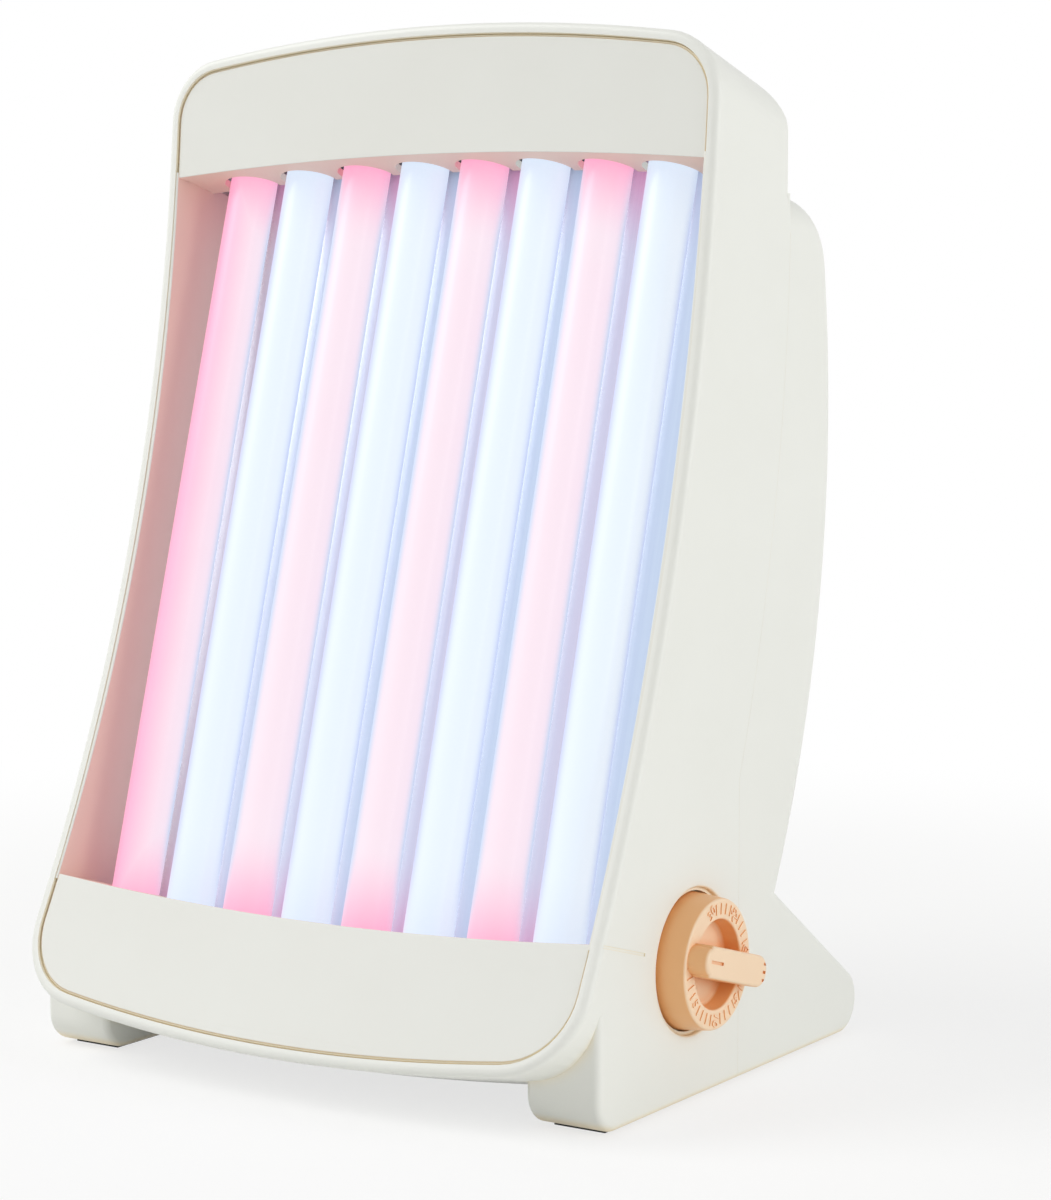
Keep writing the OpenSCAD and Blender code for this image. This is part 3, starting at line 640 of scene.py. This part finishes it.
# Rear casing: a hump with rounded edges, hollow, on the back of the feet
def on_hump_edge(x):
    """Gives the test for the left and right edges of the hump's back and top, at x."""
    def wanted(edge):
        if not (ends_at_x(edge, x) or ends_at_x(edge, -x)):
            return False
        return any(abs(face.normal.x) < 0.1 and (face.normal.y > 0.1 or face.normal.z > 0.5)
                   for face in edge.link_faces)
    return wanted


def hump_block(name, inset, steps):
    """The hump's outer or inner form, longer than needed at its front and lower ends."""
    radius = hump_r - inset
    base = underside_h - hump_over
    low_turn = -math.asin((hump_z - base) / radius)
    rise = hump_top - hump_top_r - hump_z
    high_turn = math.asin(rise / (hump_r - hump_top_r))
    top_y = hump_y + math.sqrt((hump_r - hump_top_r) ** 2 - rise * rise)
    piece = trace(name, (hump_front, base), [
        ((hump_y + radius * math.cos(low_turn), base), 1),
        ((hump_y, hump_z), high_turn - low_turn, 36),
        ((top_y, hump_top - hump_top_r), math.pi / 2 - high_turn, 10),
        ((hump_front, hump_top - inset), 1)])
    across(piece, inset - half_w, half_w - inset)
    bevel(piece, hump_edge_r - inset, steps, on_hump_edge(half_w - inset))
    edit(piece)
    bpy.ops.mesh.bisect(plane_co=(0, 0, underside_h + inset), plane_no=(0, 0, 1),
                        use_fill=True, clear_inner=True)
    leave()
    return piece


# Casing screws, as x and height: by the hump's top, above the feet and at its lower end
screw_places = [(sign * x, z) for sign in (-1, 1)
                for x, z in ((92 * mm, hump_top - 25 * mm), (92 * mm, 92 * mm), (40 * mm, 24 * mm))]
post_r = 5 * mm
post_front = -50 * mm
post_back = 140 * mm
well_r = 4 * mm
well_floor = 6 * mm


def seam_y_at(z):
    """How far back the seam between the casings lies at height z."""
    drop = max(hump_top - z, 0)
    if drop > seam_drop:
        return seam_low_y
    return rear_y - seam_r + math.sqrt(seam_r * seam_r - drop * drop)


hump = hump_block("casing_rear", 0, 10)
ahead = trace("ahead_of_seam", (-far_y, far_low), [
    ((seam_low_y + seam_gap, far_low), 1),
    ((seam_low_y + seam_gap, seam_low_z), 1),
    ((rear_y - seam_r + seam_gap, hump_top), seam_turn, 24),
    ((rear_y + seam_gap, far_high), 1),
    ((-far_y, far_high), 1)])
across(ahead, -far_x, far_x)
cut(hump, ahead)
for part in foot_part("foot_rear", False):
    cut(hump, part, "UNION")
hollow = hump_block("hump_hollow", wall, 6)
posts = [rod("post", post_r, (x, post_front, z), (x, post_back, z)) for x, z in screw_places]
cut(hollow, join(posts))
cut(hump, hollow)
wells = [rod("well", well_r, (x, seam_y_at(z) + well_floor, z), (x, post_back, z)) for x, z in screw_places]
cut(hump, join(wells))

# Vents: an upper and a lower group of round-ended slots on each side of the hump's back, each group
# given by its lowest slot's angle in degrees and its number of slots
vent_groups = ((0.5, 6), (-19, 5))
vent_x = 43.6 * mm
vent_half = 31 * mm
vent_half_h = 1.5 * mm
vent_end_r = 1.45 * mm
vent_in = 12 * mm
vent_out = 8 * mm
vent_pitch = 8 * mm
slot = block("slot", (-vent_half, -vent_in, -vent_half_h), (vent_half, vent_out, vent_half_h))
bevel(slot, vent_end_r, 5, lambda edge: runs_along(edge, 1))
vent_turn = vent_pitch / hump_r
vent_angles = [math.radians(start) + k * vent_turn for start, count in vent_groups for k in range(count)]
slots = []
for x in (-vent_x, vent_x):
    for angle in vent_angles:
        on_back = (x, hump_y + hump_r * math.cos(angle), hump_z + hump_r * math.sin(angle))
        slots.append(copy(slot, "slot_copy"))
        place(slots[-1], (angle, 0, 0), on_back)
bpy.data.objects.remove(slot)
cut(hump, join(slots))
gland_x = -62 * mm
gland_turn = math.radians(-29)
gland_hole_r = 6.1 * mm
gland_reach = 12 * mm
gland_way = Vector((0, math.cos(gland_turn), math.sin(gland_turn)))
gland_at = Vector((gland_x, hump_y, hump_z)) + gland_way * hump_r
gland_run = gland_way * gland_reach
cut(hump, rod("gland_hole", gland_hole_r, gland_at - gland_run, gland_at + gland_run))
place(hump, at=origin)
smooth(hump)
bpy.data.objects.remove(foot)

# Cord gland: a bush turned about its bore, with a collar inside the wall and a flange outside it
bush_r = 6 * mm
bore_r = 3.6 * mm
bore_edge_r = 0.6 * mm
collar_r = 7.5 * mm
collar_from = -5.7 * mm
collar_to = -2.75 * mm
flange_r = 9.5 * mm
flange_edge_r = 1.2 * mm
flange_from = 0.15 * mm
flange_to = 3.15 * mm
gland = turned("gland", [(collar_from, bore_r), (collar_from, collar_r), (collar_to, collar_r),
                         (collar_to, bush_r), (flange_from, bush_r), (flange_from, flange_r)]
               + fillet((flange_to - flange_edge_r, flange_r - flange_edge_r), flange_edge_r, 90, 0)
               + fillet((flange_to - bore_edge_r, bore_r + bore_edge_r), bore_edge_r, 0, -90)
               + [(collar_from, bore_r)])
place(gland, (0, 0, math.pi / 2))
place(gland, (gland_turn, 0, 0), gland_at + origin)
smooth(gland)


# Header and footer of the light opening: concave plates with scalloped lips
def cover(name, sign):
    """The header for a sign of 1, the footer for -1."""
    plate_x = half_w - rim_w - groove_w
    if sign > 0:
        corner_x, corner_z, turn, centre_z = corner_top_x, corner_top_z, corner_top_turn, crown_z
    else:
        corner_x, corner_z, turn, centre_z = corner_low_x, corner_low_z, corner_low_turn, sole_centre_z
    arch_z = sign * (light_half - arch_r)

    def sheet(label, x, radius, set_back, depth):
        """A concave sheet that fills the end of the opening out to x, set back from the rim."""
        arch_turn = math.asin(x / radius)
        edge_z = arch_z + sign * radius * math.cos(arch_turn)
        piece = trace(label, (x, edge_z), [
            ((x, corner_z), 1),
            ((corner_x, corner_z), sign * turn, 10),
            ((0, centre_z), sign * (math.pi - 2 * turn), 36),
            ((-corner_x, corner_z), sign * turn, 10),
            ((-x, edge_z), 1),
            ((0, arch_z), -sign * 2 * arch_turn, 32)])
        edit(piece)
        bpy.ops.mesh.normals_make_consistent(inside=False)
        for v in cover_rows:
            bpy.ops.mesh.select_all(action="SELECT")
            bpy.ops.mesh.bisect(plane_co=(0, 0, sign * v), plane_no=(0, 0, 1))
        leave()
        shift_rows(piece, lambda co: True, lambda v: set_back - face_w(v))
        thick(piece, depth)
        return piece

    plate = sheet(name, plate_x, arch_r, plate_back, plate_t)
    flange_x = half_w - rim_w - flange_gap
    flange = sheet(name + "_flange", flange_x, arch_r + flange_over, flange_back, flange_t)
    cut(plate, flange, "UNION")
    arch_turn = math.asin(plate_x / arch_r)
    edge_z = arch_z + sign * arch_r * math.cos(arch_turn)
    band = trace(name + "_lip", (plate_x, edge_z), [
        ((plate_x, edge_z + sign * plate_t), 1),
        ((0, arch_z + sign * plate_t), sign * 2 * arch_turn, 32),
        ((-plate_x, edge_z), 1),
        ((0, arch_z), -sign * 2 * arch_turn, 32)])
    front = -face_w(light_half) + lip_front
    thick(band, lip_back - front)
    place(band, at=(0, front, 0))
    cut(plate, band, "UNION")
    scallops = []
    for k in range(tube_count):
        start = (tube_x(k), 0, sign * scallop_from)
        end = (tube_x(k), 0, sign * scallop_to)
        scallops.append(rod("scallop", scallop_r, start, end, 64))
    cut(plate, join(scallops))
    bevel(plate, plate_edge_r, 4, lambda edge: is_corner(edge)
          and any(face.normal.y < -0.8 for face in edge.link_faces))
    to_panel(plate)
    smooth(plate)
    return plate


header = cover("header", 1)
footer = cover("footer", -1)

# Cheeks: the two side walls of the light opening, thinner towards the front as moulded walls are
face_turn = math.asin(cheek_half / face_r)
face_centre = cheek_front - face_gap - face_r
cheek = trace("cheek_right", (cheek_back, -cheek_half), [
    ((cheek_back, cheek_half), 1),
    ((face_centre + face_r * math.cos(face_turn), cheek_half), 1),
    ((face_centre, 0), -2 * face_turn, 40)])
across(cheek, cheek_in, cheek_out)
draft_w = 20 * mm
draft_ahead = 60 * mm
draft_behind = 40 * mm
draft_half = 140 * mm
draft = block("draft", (-draft_w, -draft_ahead, -draft_half), (0, draft_behind, draft_half))
place(draft, (0, 0, cheek_draft), (cheek_in, cheek_back, 0))
cut(cheek, draft)
bevel(cheek, cheek_edge_r, 4, lambda edge: any(face.normal.x < -0.9 for face in edge.link_faces)
      and any(face.normal.y < -0.9 for face in edge.link_faces))
to_panel(cheek)
cheek_left = mirrored(cheek, "cheek_left", origin.x)
smooth(cheek)
smooth(cheek_left)

# Tubes: eight glass tubes with rounded ends
tubes = [rod("tube_1", tube_r, (0, 0, -glass_half), (0, 0, glass_half), 64)]
bevel(tubes[0], tube_end_r, 5, is_corner)
for k in range(1, tube_count):
    tubes.append(copy(tubes[0], "tube_" + str(k + 1)))
for k, tube in enumerate(tubes):
    place(tube, at=(tube_x(k), 0, 0))
    to_panel(tube)
    smooth(tube)

# Timer knob: a flared skirt, hollow round a hub, a ring with raised marks, a dish and a grip bar
face_in = knob_face_x - dish_depth
hollow_x = face_in - knob_t
hollow_r = dish_r + knob_t
knob = turned("knob", [(knob_base_x, 0), (knob_base_x, hub_r), (hollow_x, hub_r), (hollow_x, hollow_r),
                       (knob_base_x, hollow_r), (knob_base_x, knob_base_r - skirt_edge),
                       (knob_base_x + skirt_edge, knob_base_r)]
              + fillet((knob_face_x - knob_edge_r, knob_face_r - knob_edge_r), knob_edge_r, 86, 0)
              + fillet((knob_face_x - dish_edge_r, dish_r + dish_edge_r), dish_edge_r, 0, -90)
              + fillet((face_in + dish_floor_r, dish_r - dish_floor_in), dish_floor_r, 75, 180)
              + [(face_in, 0)], 128)
grip = block("grip", (face_in - grip_sunk, -knob_face_r, -grip_t / 2), (grip_x, knob_face_r, grip_t / 2))
bevel(grip, grip_end_r, 10, lambda edge: runs_along(edge, 0))

# The grip narrows towards its nose, which carries the pointer
nose_taper = (1, 0.62, 0.8)
edit(grip)
bpy.ops.mesh.select_mode(type="VERT")
bpy.ops.mesh.select_all(action="DESELECT")
mesh = bmesh.from_edit_mesh(grip.data)
nose_y = grip_t / 2 - knob_face_r
nose_from = nose_y - 0.5 * mm
for vert in mesh.verts:
    vert.select_set(near(vert.co.x, grip_x) and vert.co.y < nose_from)
bmesh.update_edit_mesh(grip.data)
bpy.ops.transform.resize(value=nose_taper, center_override=(grip_x, nose_y, 0))
leave()
bevel(grip, grip_edge_r, 5, lambda edge: ends_at_x(edge, grip_x))
cut(knob, grip, "UNION")
pointer_x = grip_x - 0.6 * mm
pointer_from = -16.2 * mm
pointer_to = -8.5 * mm
pointer_half = 0.5 * mm
pointer = block("pointer", (pointer_x, pointer_from, -pointer_half),
                (grip_x + grip_over, pointer_to, pointer_half))
cut(knob, pointer)
notch_x = grip_x - 0.7 * mm
notch_from = 17.4 * mm
notch_to = 19.2 * mm
notch_half = 0.45 * mm
notch_pitch = 2.6 * mm
for z in (-notch_pitch, 0, notch_pitch):
    notch = block("notch", (notch_x, notch_from, z - notch_half),
                  (grip_x + grip_over, notch_to, z + notch_half))
    cut(knob, notch)

# Raised numbers and minute marks on the ring, counter-clockwise from the pointer
mark_r = (dish_r + knob_face_r) / 2
mark_rise = 0.35 * mm
number_h = 4.6 * mm
tick_half = 1.7 * mm
tick_half_w = 0.2 * mm
last_minute = 30
minute_deg = 10
marks = []
for minute in range(last_minute + 1):
    angle = math.radians(minute_deg * minute)
    if minute and minute % 5 == 0:
        bpy.ops.object.select_all(action="DESELECT")
        bpy.ops.object.text_add()
        letter = bpy.context.object
        letter.data.body = str(minute)
        letter.data.size = number_h
        letter.data.align_x = "CENTER"
        letter.data.align_y = "CENTER"
        letter.data.extrude = mark_rise
        letter.data.resolution_u = 3
        bpy.ops.object.convert(target="MESH")
        mark = named("number_" + str(minute))
        place(mark, (math.pi / 2, 0, math.pi / 2))
        place(mark, (-angle, 0, 0))
    else:
        mark = block("tick", (-mark_rise, -tick_half, -tick_half_w), (mark_rise, tick_half, tick_half_w))
        place(mark, (angle, 0, 0))
    place(mark, at=(knob_face_x, -mark_r * math.cos(angle), -mark_r * math.sin(angle)))
    marks.append(mark)
numbers = join(marks)
numbers.name = "knob_numbers"
for piece in (knob, numbers):
    place(piece, (-tilt, 0, 0), (origin.x, knob_at.y, knob_at.z))
smooth(knob)
smooth(numbers)

# What each piece stands for and moves with
stand_ins = {
    casing: ("casing", "casing_plastic", ["front_casing"]),
    hump: ("casing", "casing_plastic", ["rear_casing"]),
    gland: ("casing", "rubber", ["cord_gland"]),
    header: ("casing", "surround_plastic", ["lamp_surround"]),
    footer: ("casing", "surround_plastic", []),
    cheek: ("casing", "surround_plastic", []),
    cheek_left: ("casing", "surround_plastic", []),
    knob: ("timer_spindle", "knob_plastic", ["timer_knob"]),
    numbers: ("timer_spindle", "knob_plastic", []),
}
for k, tube in enumerate(tubes):
    kind = "uv" if k % 2 else "red"
    stand_ins[tube] = ("casing", kind + "_tube_glass", [kind + "_tube_" + str(k // 2 + 1)])
for piece, (body, slot, nodes) in stand_ins.items():
    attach(piece, body)
    if nodes:
        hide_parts(*nodes)


# Materials
def paint(code):
    """Linear colour of an sRGB hex value."""
    shares = [int(code[k:k + 2], 16) / 255 for k in (0, 2, 4)]
    return [part / 12.92 if part <= 0.04045 else ((part + 0.055) / 1.055) ** 2.4 for part in shares] + [1]


def feed(tree, made, inputs):
    """Fills a node's inputs: each gets a plain value, or a link from another node's output."""
    for key, value in inputs.items():
        if isinstance(value, bpy.types.NodeSocket):
            tree.links.new(value, made.inputs[key])
        else:
            made.inputs[key].default_value = value


def add(tree, kind, inputs, **settings):
    """Adds a node with its settings and links, and gives its outputs."""
    made = tree.nodes.new("ShaderNode" + kind)
    for key, value in settings.items():
        setattr(made, key, value)
    feed(tree, made, inputs)
    return made.outputs


def surface(name):
    """Starts a material: its node tree, its shader, and the place on the piece in metres."""
    made = bpy.data.materials.new(name)
    made.use_nodes = True
    tree = made.node_tree
    return made, tree, tree.nodes["Principled BSDF"], add(tree, "TexCoord", {})["Object"]


def moulded(name, light, dark, grain, relief, gloss, crevice_shade=None, reach=3 * mm, shaded_walls=None):
    """A moulded plastic or rubber: slow changes of tone where it flowed, and the mould's grain.

    Where a crevice shade colour is given, its crevices take that warm colour as painted shade, standing for light
    bounced between its own walls. Where a shaded-wall colour is given, faces that don't face sideways take it as
    painted shade, and faces turned sideways keep the lighter tone as painted light."""
    made, tree, shader, spot = surface(name)
    flow = add(tree, "TexNoise", {"Vector": spot, "Scale": 1 / (40 * mm), "Detail": 3})["Fac"]
    pits = add(tree, "TexNoise", {"Vector": spot, "Scale": 1 / grain, "Detail": 2})["Fac"]
    tone = add(tree, "Mix", {0: flow, 6: paint(light), 7: paint(dark)}, data_type="RGBA")[2]
    # Painted light and shade: faces turned sideways keep the lighter tone, and the others take the deeper
    # shaded-wall colour
    if shaded_walls:
        sideways = add(tree, "SeparateXYZ", {"Vector": add(tree, "TexCoord", {})["Normal"]})["X"]
        facing = add(tree, "Math", {0: sideways}, operation="ABSOLUTE")["Value"]
        shaded_wall_share = add(tree, "MapRange", {"Value": facing, "From Min": 0.8, "From Max": 0.2})["Result"]
        tone = add(tree, "Mix", {0: shaded_wall_share, 6: tone, 7: paint(shaded_walls)}, data_type="RGBA")[2]
    # Painted shade: a warm, darker colour where ambient occlusion finds crevices
    if crevice_shade:
        open_share = add(tree, "AmbientOcclusion", {"Distance": reach}, samples=6)["AO"]
        shade_share = add(tree, "MapRange", {"Value": open_share, "From Min": 0.85, "From Max": 0.3})["Result"]
        tone = add(tree, "Mix", {0: shade_share, 6: tone, 7: paint(crevice_shade)}, data_type="RGBA")[2]
    dull = add(tree, "MapRange", {"Value": pits, "To Min": gloss[0], "To Max": gloss[1]})["Result"]
    bump = add(tree, "Bump", {"Height": pits, "Strength": 0.5, "Distance": relief})["Normal"]
    feed(tree, shader, {"Base Color": tone, "Roughness": dull, "Normal": bump, "IOR": 1.53})
    return made


def metal(name, light, dark, streak, relief, gloss):
    """A bare or plated metal: streaks of the given size along x, y and z, left by how it was worked."""
    made, tree, shader, spot = surface(name)
    drawn = add(tree, "Mapping", {"Vector": spot, "Scale": [1 / size for size in streak]})["Vector"]
    lines = add(tree, "TexNoise", {"Vector": drawn, "Scale": 1, "Detail": 4})["Fac"]
    tone = add(tree, "Mix", {0: lines, 6: paint(light), 7: paint(dark)}, data_type="RGBA")[2]
    dull = add(tree, "MapRange", {"Value": lines, "To Min": gloss[0], "To Max": gloss[1]})["Result"]
    bump = add(tree, "Bump", {"Height": lines, "Strength": 0.4, "Distance": relief})["Normal"]
    feed(tree, shader, {"Base Color": tone, "Metallic": 1, "Roughness": dull, "Normal": bump})
    return made


def lit_glass(name, middle, end, limb_tint_and_reflection, glow):
    """Glass coated inside with a powder that glows, deeper in colour by the ends.

    On the first tube's outer side, in front, where no neighbour's light washes it out, the glow is painted a
    deeper colour. The others' limbs take a bluish tint that is partly the thickness of the glass and partly a
    painted reflection of the neighbouring tubes' light."""
    made, tree, shader, spot = surface(name)
    turn = Euler((tilt, 0, 0))
    on_panel = add(tree, "Mapping", {"Vector": spot, "Rotation": turn,
                                     "Location": -(turn.to_matrix() @ panel_origin)})["Vector"]
    parts = add(tree, "SeparateXYZ", {"Vector": on_panel})
    from_middle = add(tree, "Math", {0: parts["Z"]}, operation="ABSOLUTE")["Value"]
    by_end = add(tree, "MapRange", {"Value": from_middle, "From Min": 98 * mm, "From Max": 132 * mm},
                 interpolation_type="SMOOTHSTEP")["Result"]
    # Painted light: the first tube's outer side, which no neighbour's light washes out, glows deeper
    painted_outer_depth = add(tree, "MapRange", {"Value": parts["X"], "From Min": -74 * mm, "From Max": -88 * mm},
                interpolation_type="SMOOTHSTEP")["Result"]
    ahead = add(tree, "MapRange", {"Value": parts["Y"], "From Min": 5 * mm, "From Max": -3 * mm})["Result"]
    painted_outer_depth = add(tree, "Math", {0: painted_outer_depth, 1: ahead}, operation="MULTIPLY")["Value"]
    cloudy = add(tree, "TexNoise", {"Vector": on_panel, "Scale": 1 / (30 * mm), "Detail": 2})["Fac"]
    uneven = add(tree, "MapRange", {"Value": cloudy, "To Min": -0.08, "To Max": 0.08})["Result"]
    deeper = add(tree, "Math", {0: by_end, 1: painted_outer_depth}, operation="MAXIMUM")["Value"]
    share = add(tree, "Math", {0: deeper, 1: uneven}, operation="ADD", use_clamp=True)["Value"]
    core = add(tree, "Mix", {0: share, 6: paint(middle), 7: paint(end)}, data_type="RGBA")[2]
    # Glass tint and painted reflection: the limbs take a bluish colour the more grazing they are seen
    facing = add(tree, "LayerWeight", {"Blend": 0.5})["Facing"]
    glass = add(tree, "MapRange", {"Value": facing, "From Min": 0.25, "From Max": 0.85},
                interpolation_type="SMOOTHSTEP")["Result"]
    inner = add(tree, "Math", {0: 1, 1: deeper}, operation="SUBTRACT")["Value"]
    painted_limb_share = add(tree, "Math", {0: glass, 1: inner}, operation="MULTIPLY")["Value"]
    light = add(tree, "Mix", {0: painted_limb_share, 6: core, 7: paint(limb_tint_and_reflection)}, data_type="RGBA")[2]
    feed(tree, shader, {"Base Color": paint("6E6C70"), "Roughness": 0.6,
                        "Emission Color": light, "Emission Strength": glow,
                        "Coat Weight": 0.5, "Coat Roughness": 0.3, "Coat IOR": 1.5})
    return made


abs_grain = 0.7 * mm
abs_relief = 0.012 * mm
satin = (0.46, 0.54)
finishes = {
    # Off-white ABS from a fine spark-eroded mould: an even satin, its grain drawn coarse enough to show, with warm
    # painted shade in its crevices and grooves
    "casing_plastic": moulded("moulded_abs_off_white", "EFF0EA", "EBECE5", abs_grain, abs_relief,
                              (0.4, 0.48), "F2E4C4", 6 * mm),
    # The same ABS in the light opening, a little duller, with the same warm painted shade in its crevices
    "surround_plastic": moulded("moulded_abs_panel_white", "EBECE6", "E7E7E0", abs_grain, abs_relief,
                                satin, "F2E4C4"),
    # The same white ABS on the opening's inner walls, with the pink tubes' warm light painted on
    "cheek_plastic": moulded("moulded_abs_white_painted_tube_light", "ECD1C0", "E8CBB9", abs_grain, abs_relief, satin),
    # Peach ABS: a soft gloss, painted lighter on faces turned sideways, with deeper orange painted shade on its
    # other faces and in its crevices
    "knob_plastic": moulded("moulded_abs_peach", "F9DEBE", "F5D4B0", 0.5 * mm, 0.01 * mm, (0.38, 0.46),
                            "F1AE70", 4 * mm, "F6BC82"),
    # White thermoplastic lampholders: smooth and slightly glossy
    "holder_plastic": moulded("moulded_white_thermoplastic", "EEEEEA", "E8E8E3", 0.5 * mm, 0.006 * mm,
                              (0.3, 0.38)),
    # Starter canisters: thin moulded shells, matt
    "starter_plastic": moulded("moulded_starter_canister", "E6E6E0", "DEDED7", 0.5 * mm, 0.008 * mm,
                               (0.5, 0.58)),
    # Terminal block: milky plastic
    "terminal_plastic": moulded("moulded_terminal_plastic", "E0DDD0", "D8D4C6", 0.6 * mm, 0.01 * mm,
                                (0.42, 0.5)),
    # Timer case and cam: white nylon, moulded smooth and left dull
    "timer_plastic": moulded("moulded_timer_nylon", "DCDCD7", "D4D4CE", 0.5 * mm, 0.01 * mm, (0.44, 0.54)),
    # Pads and cord gland: black rubber, almost without shine
    "rubber": moulded("moulded_black_rubber", "262626", "1E1E1E", 0.8 * mm, 0.03 * mm, (0.7, 0.82)),
    # Reflector: bright-rolled aluminium, its fine rolling lines along the tubes stretching what it mirrors
    "reflector_sheet": metal("bright_rolled_aluminium", "E6EEF8", "DAE4F2", (1.2 * mm, 60 * mm, 160 * mm),
                             0.004 * mm, (0.4, 0.5)),
    # Chassis: zinc-plated sheet steel, cloudy and half dull
    "chassis_steel": metal("zinc_plated_sheet_steel", "C3C6C8", "AEB1B3", (9 * mm, 9 * mm, 9 * mm),
                           0.01 * mm, (0.32, 0.46)),
    # Tube caps: drawn aluminium with a satin face
    "cap_metal": metal("drawn_satin_aluminium", "D3D5D8", "C2C4C7", (4 * mm, 4 * mm, 0.5 * mm),
                       0.004 * mm, (0.26, 0.36)),
    # Pins, contacts and clock wheels: bright brass
    "pin_brass": metal("bright_turned_brass", "E2C178", "CFA85A", (0.4 * mm, 0.4 * mm, 4 * mm),
                       0.002 * mm, (0.18, 0.28)),
    "timer_brass": metal("stamped_clock_brass", "DDBB70", "C9A256", (3 * mm, 0.5 * mm, 3 * mm),
                         0.003 * mm, (0.24, 0.36)),
    # Shaft: ground steel
    "shaft_steel": metal("ground_steel", "C6C8CA", "B4B6B9", (0.4 * mm, 3 * mm, 3 * mm),
                         0.002 * mm, (0.2, 0.3)),
    # Screws: zinc-plated, slightly grey
    "screw_steel": metal("zinc_plated_screw", "BDC0C2", "A7AAAD", (2 * mm, 2 * mm, 2 * mm),
                         0.006 * mm, (0.28, 0.4)),
    # Ballasts: laminated iron under dark varnish, its sheets showing as fine lines
    "ballast_iron": metal("varnished_laminated_iron", "4A4A4C", "333335", (60 * mm, 60 * mm, 1 * mm),
                          0.05 * mm, (0.36, 0.5)),
    # Pink and blue-white tubes, alight
    "red_tube_glass": lit_glass("phosphor_glass_pink", "F4DFEA", "FF9FC6", "BCCCE6", 0.92),
    "uv_tube_glass": lit_glass("phosphor_glass_blue_white", "E6F3FF", "DCEBFF", "BCCDF2", 0.88),
}
for part in frame["record"]["subparts"]:
    node = frame["nodes"][part["node"]]
    node.data.materials.clear()
    node.data.materials.append(finishes[part["material_slot"]])
for piece, (body, slot, nodes) in stand_ins.items():
    piece.data.materials.clear()
    piece.data.materials.append(finishes[slot])

# The walls that face the tubes take the white ABS with the tubes' pink light painted on
up_panel = Vector((0, math.sin(tilt), math.cos(tilt)))
for piece in (cheek, cheek_left, header, footer):
    piece.data.materials.append(finishes["cheek_plastic"])
    for face in piece.data.polygons:
        tube_lit_wall = abs(face.normal.x) > 0.9 or abs(face.normal.dot(up_panel)) > 0.8
        inner = (face.center - panel_origin).dot(face.normal) < 0
        face.material_index = 1 if tube_lit_wall and inner else 0


# Stage: white paper on which the light falls evenly, white all round
def seen_plainly(tree):
    """One for rays from the camera, a mirror or glass, and nought for rays that only light."""
    path = add(tree, "LightPath", {})
    seen = path["Is Camera Ray"]
    for kind in ("Is Glossy Ray", "Is Transmission Ray"):
        seen = add(tree, "Math", {0: seen, 1: path[kind]}, operation="MAXIMUM")["Value"]
    return seen


bpy.ops.object.select_all(action="DESELECT")
bpy.ops.mesh.primitive_circle_add(vertices=96, radius=4, fill_type="NGON")
floor = named("floor")
paper, tree, shader, spot = surface("white_paper")
away = add(tree, "VectorMath", {0: spot}, operation="LENGTH")["Value"]
far = add(tree, "MapRange", {"Value": away, "From Min": 0.25, "From Max": 0.7},
          interpolation_type="SMOOTHSTEP")["Result"]
bright = add(tree, "MapRange", {"Value": far, "To Min": 0.72, "To Max": 1})["Result"]
white_share = add(tree, "Math", {0: bright, 1: seen_plainly(tree)}, operation="MULTIPLY")["Value"]
white = add(tree, "Emission", {"Color": paint("FFFFFF"), "Strength": 1})["Emission"]
feed(tree, shader, {"Base Color": paint("F6F6F4"), "Roughness": 0.9, "Specular IOR Level": 0.1})
mixed = add(tree, "MixShader", {0: white_share, 1: shader.outputs["BSDF"], 2: white})["Shader"]
feed(tree, tree.nodes["Material Output"], {"Surface": mixed})
floor.data.materials.append(paper)

world = bpy.data.worlds.new("white_room")
bpy.context.scene.world = world
world.use_nodes = True
tree = world.node_tree
level = add(tree, "MapRange", {"Value": seen_plainly(tree), "To Min": 0.42, "To Max": 1})["Result"]
feed(tree, tree.nodes["Background"], {"Color": paint("FFFFFF"), "Strength": level})


lamp_middle = Vector((0, 0, 0.16))


def soft_light(name, at, size, power):
    """A large soft box that faces the middle of the lamp."""
    bpy.ops.object.light_add(type="AREA", location=at)
    light = bpy.context.object
    light.name = name
    light.data.size = size
    light.data.energy = power
    light.rotation_euler = (lamp_middle - light.location).to_track_quat("-Z", "Y").to_euler()


soft_light("left_front_light", (-1.2, -0.9, 1.5), 1.2, 22.5)
soft_light("right_light", (1.85, 0.1, 0.5), 1.4, 16.5)

bpy.ops.object.camera_add()
camera = bpy.context.object
camera.location = Vector((541.0, -785.75, 236.9)) * mm
aim = Vector((42.76, -23.15, 154.49)) * mm - camera.location
camera.rotation_euler = aim.to_track_quat("-Z", "Y").to_euler()
camera.data.lens = 86.76
camera.data.sensor_width = 36
bpy.context.scene.camera = camera
bpy.context.scene.view_settings.view_transform = "Standard"
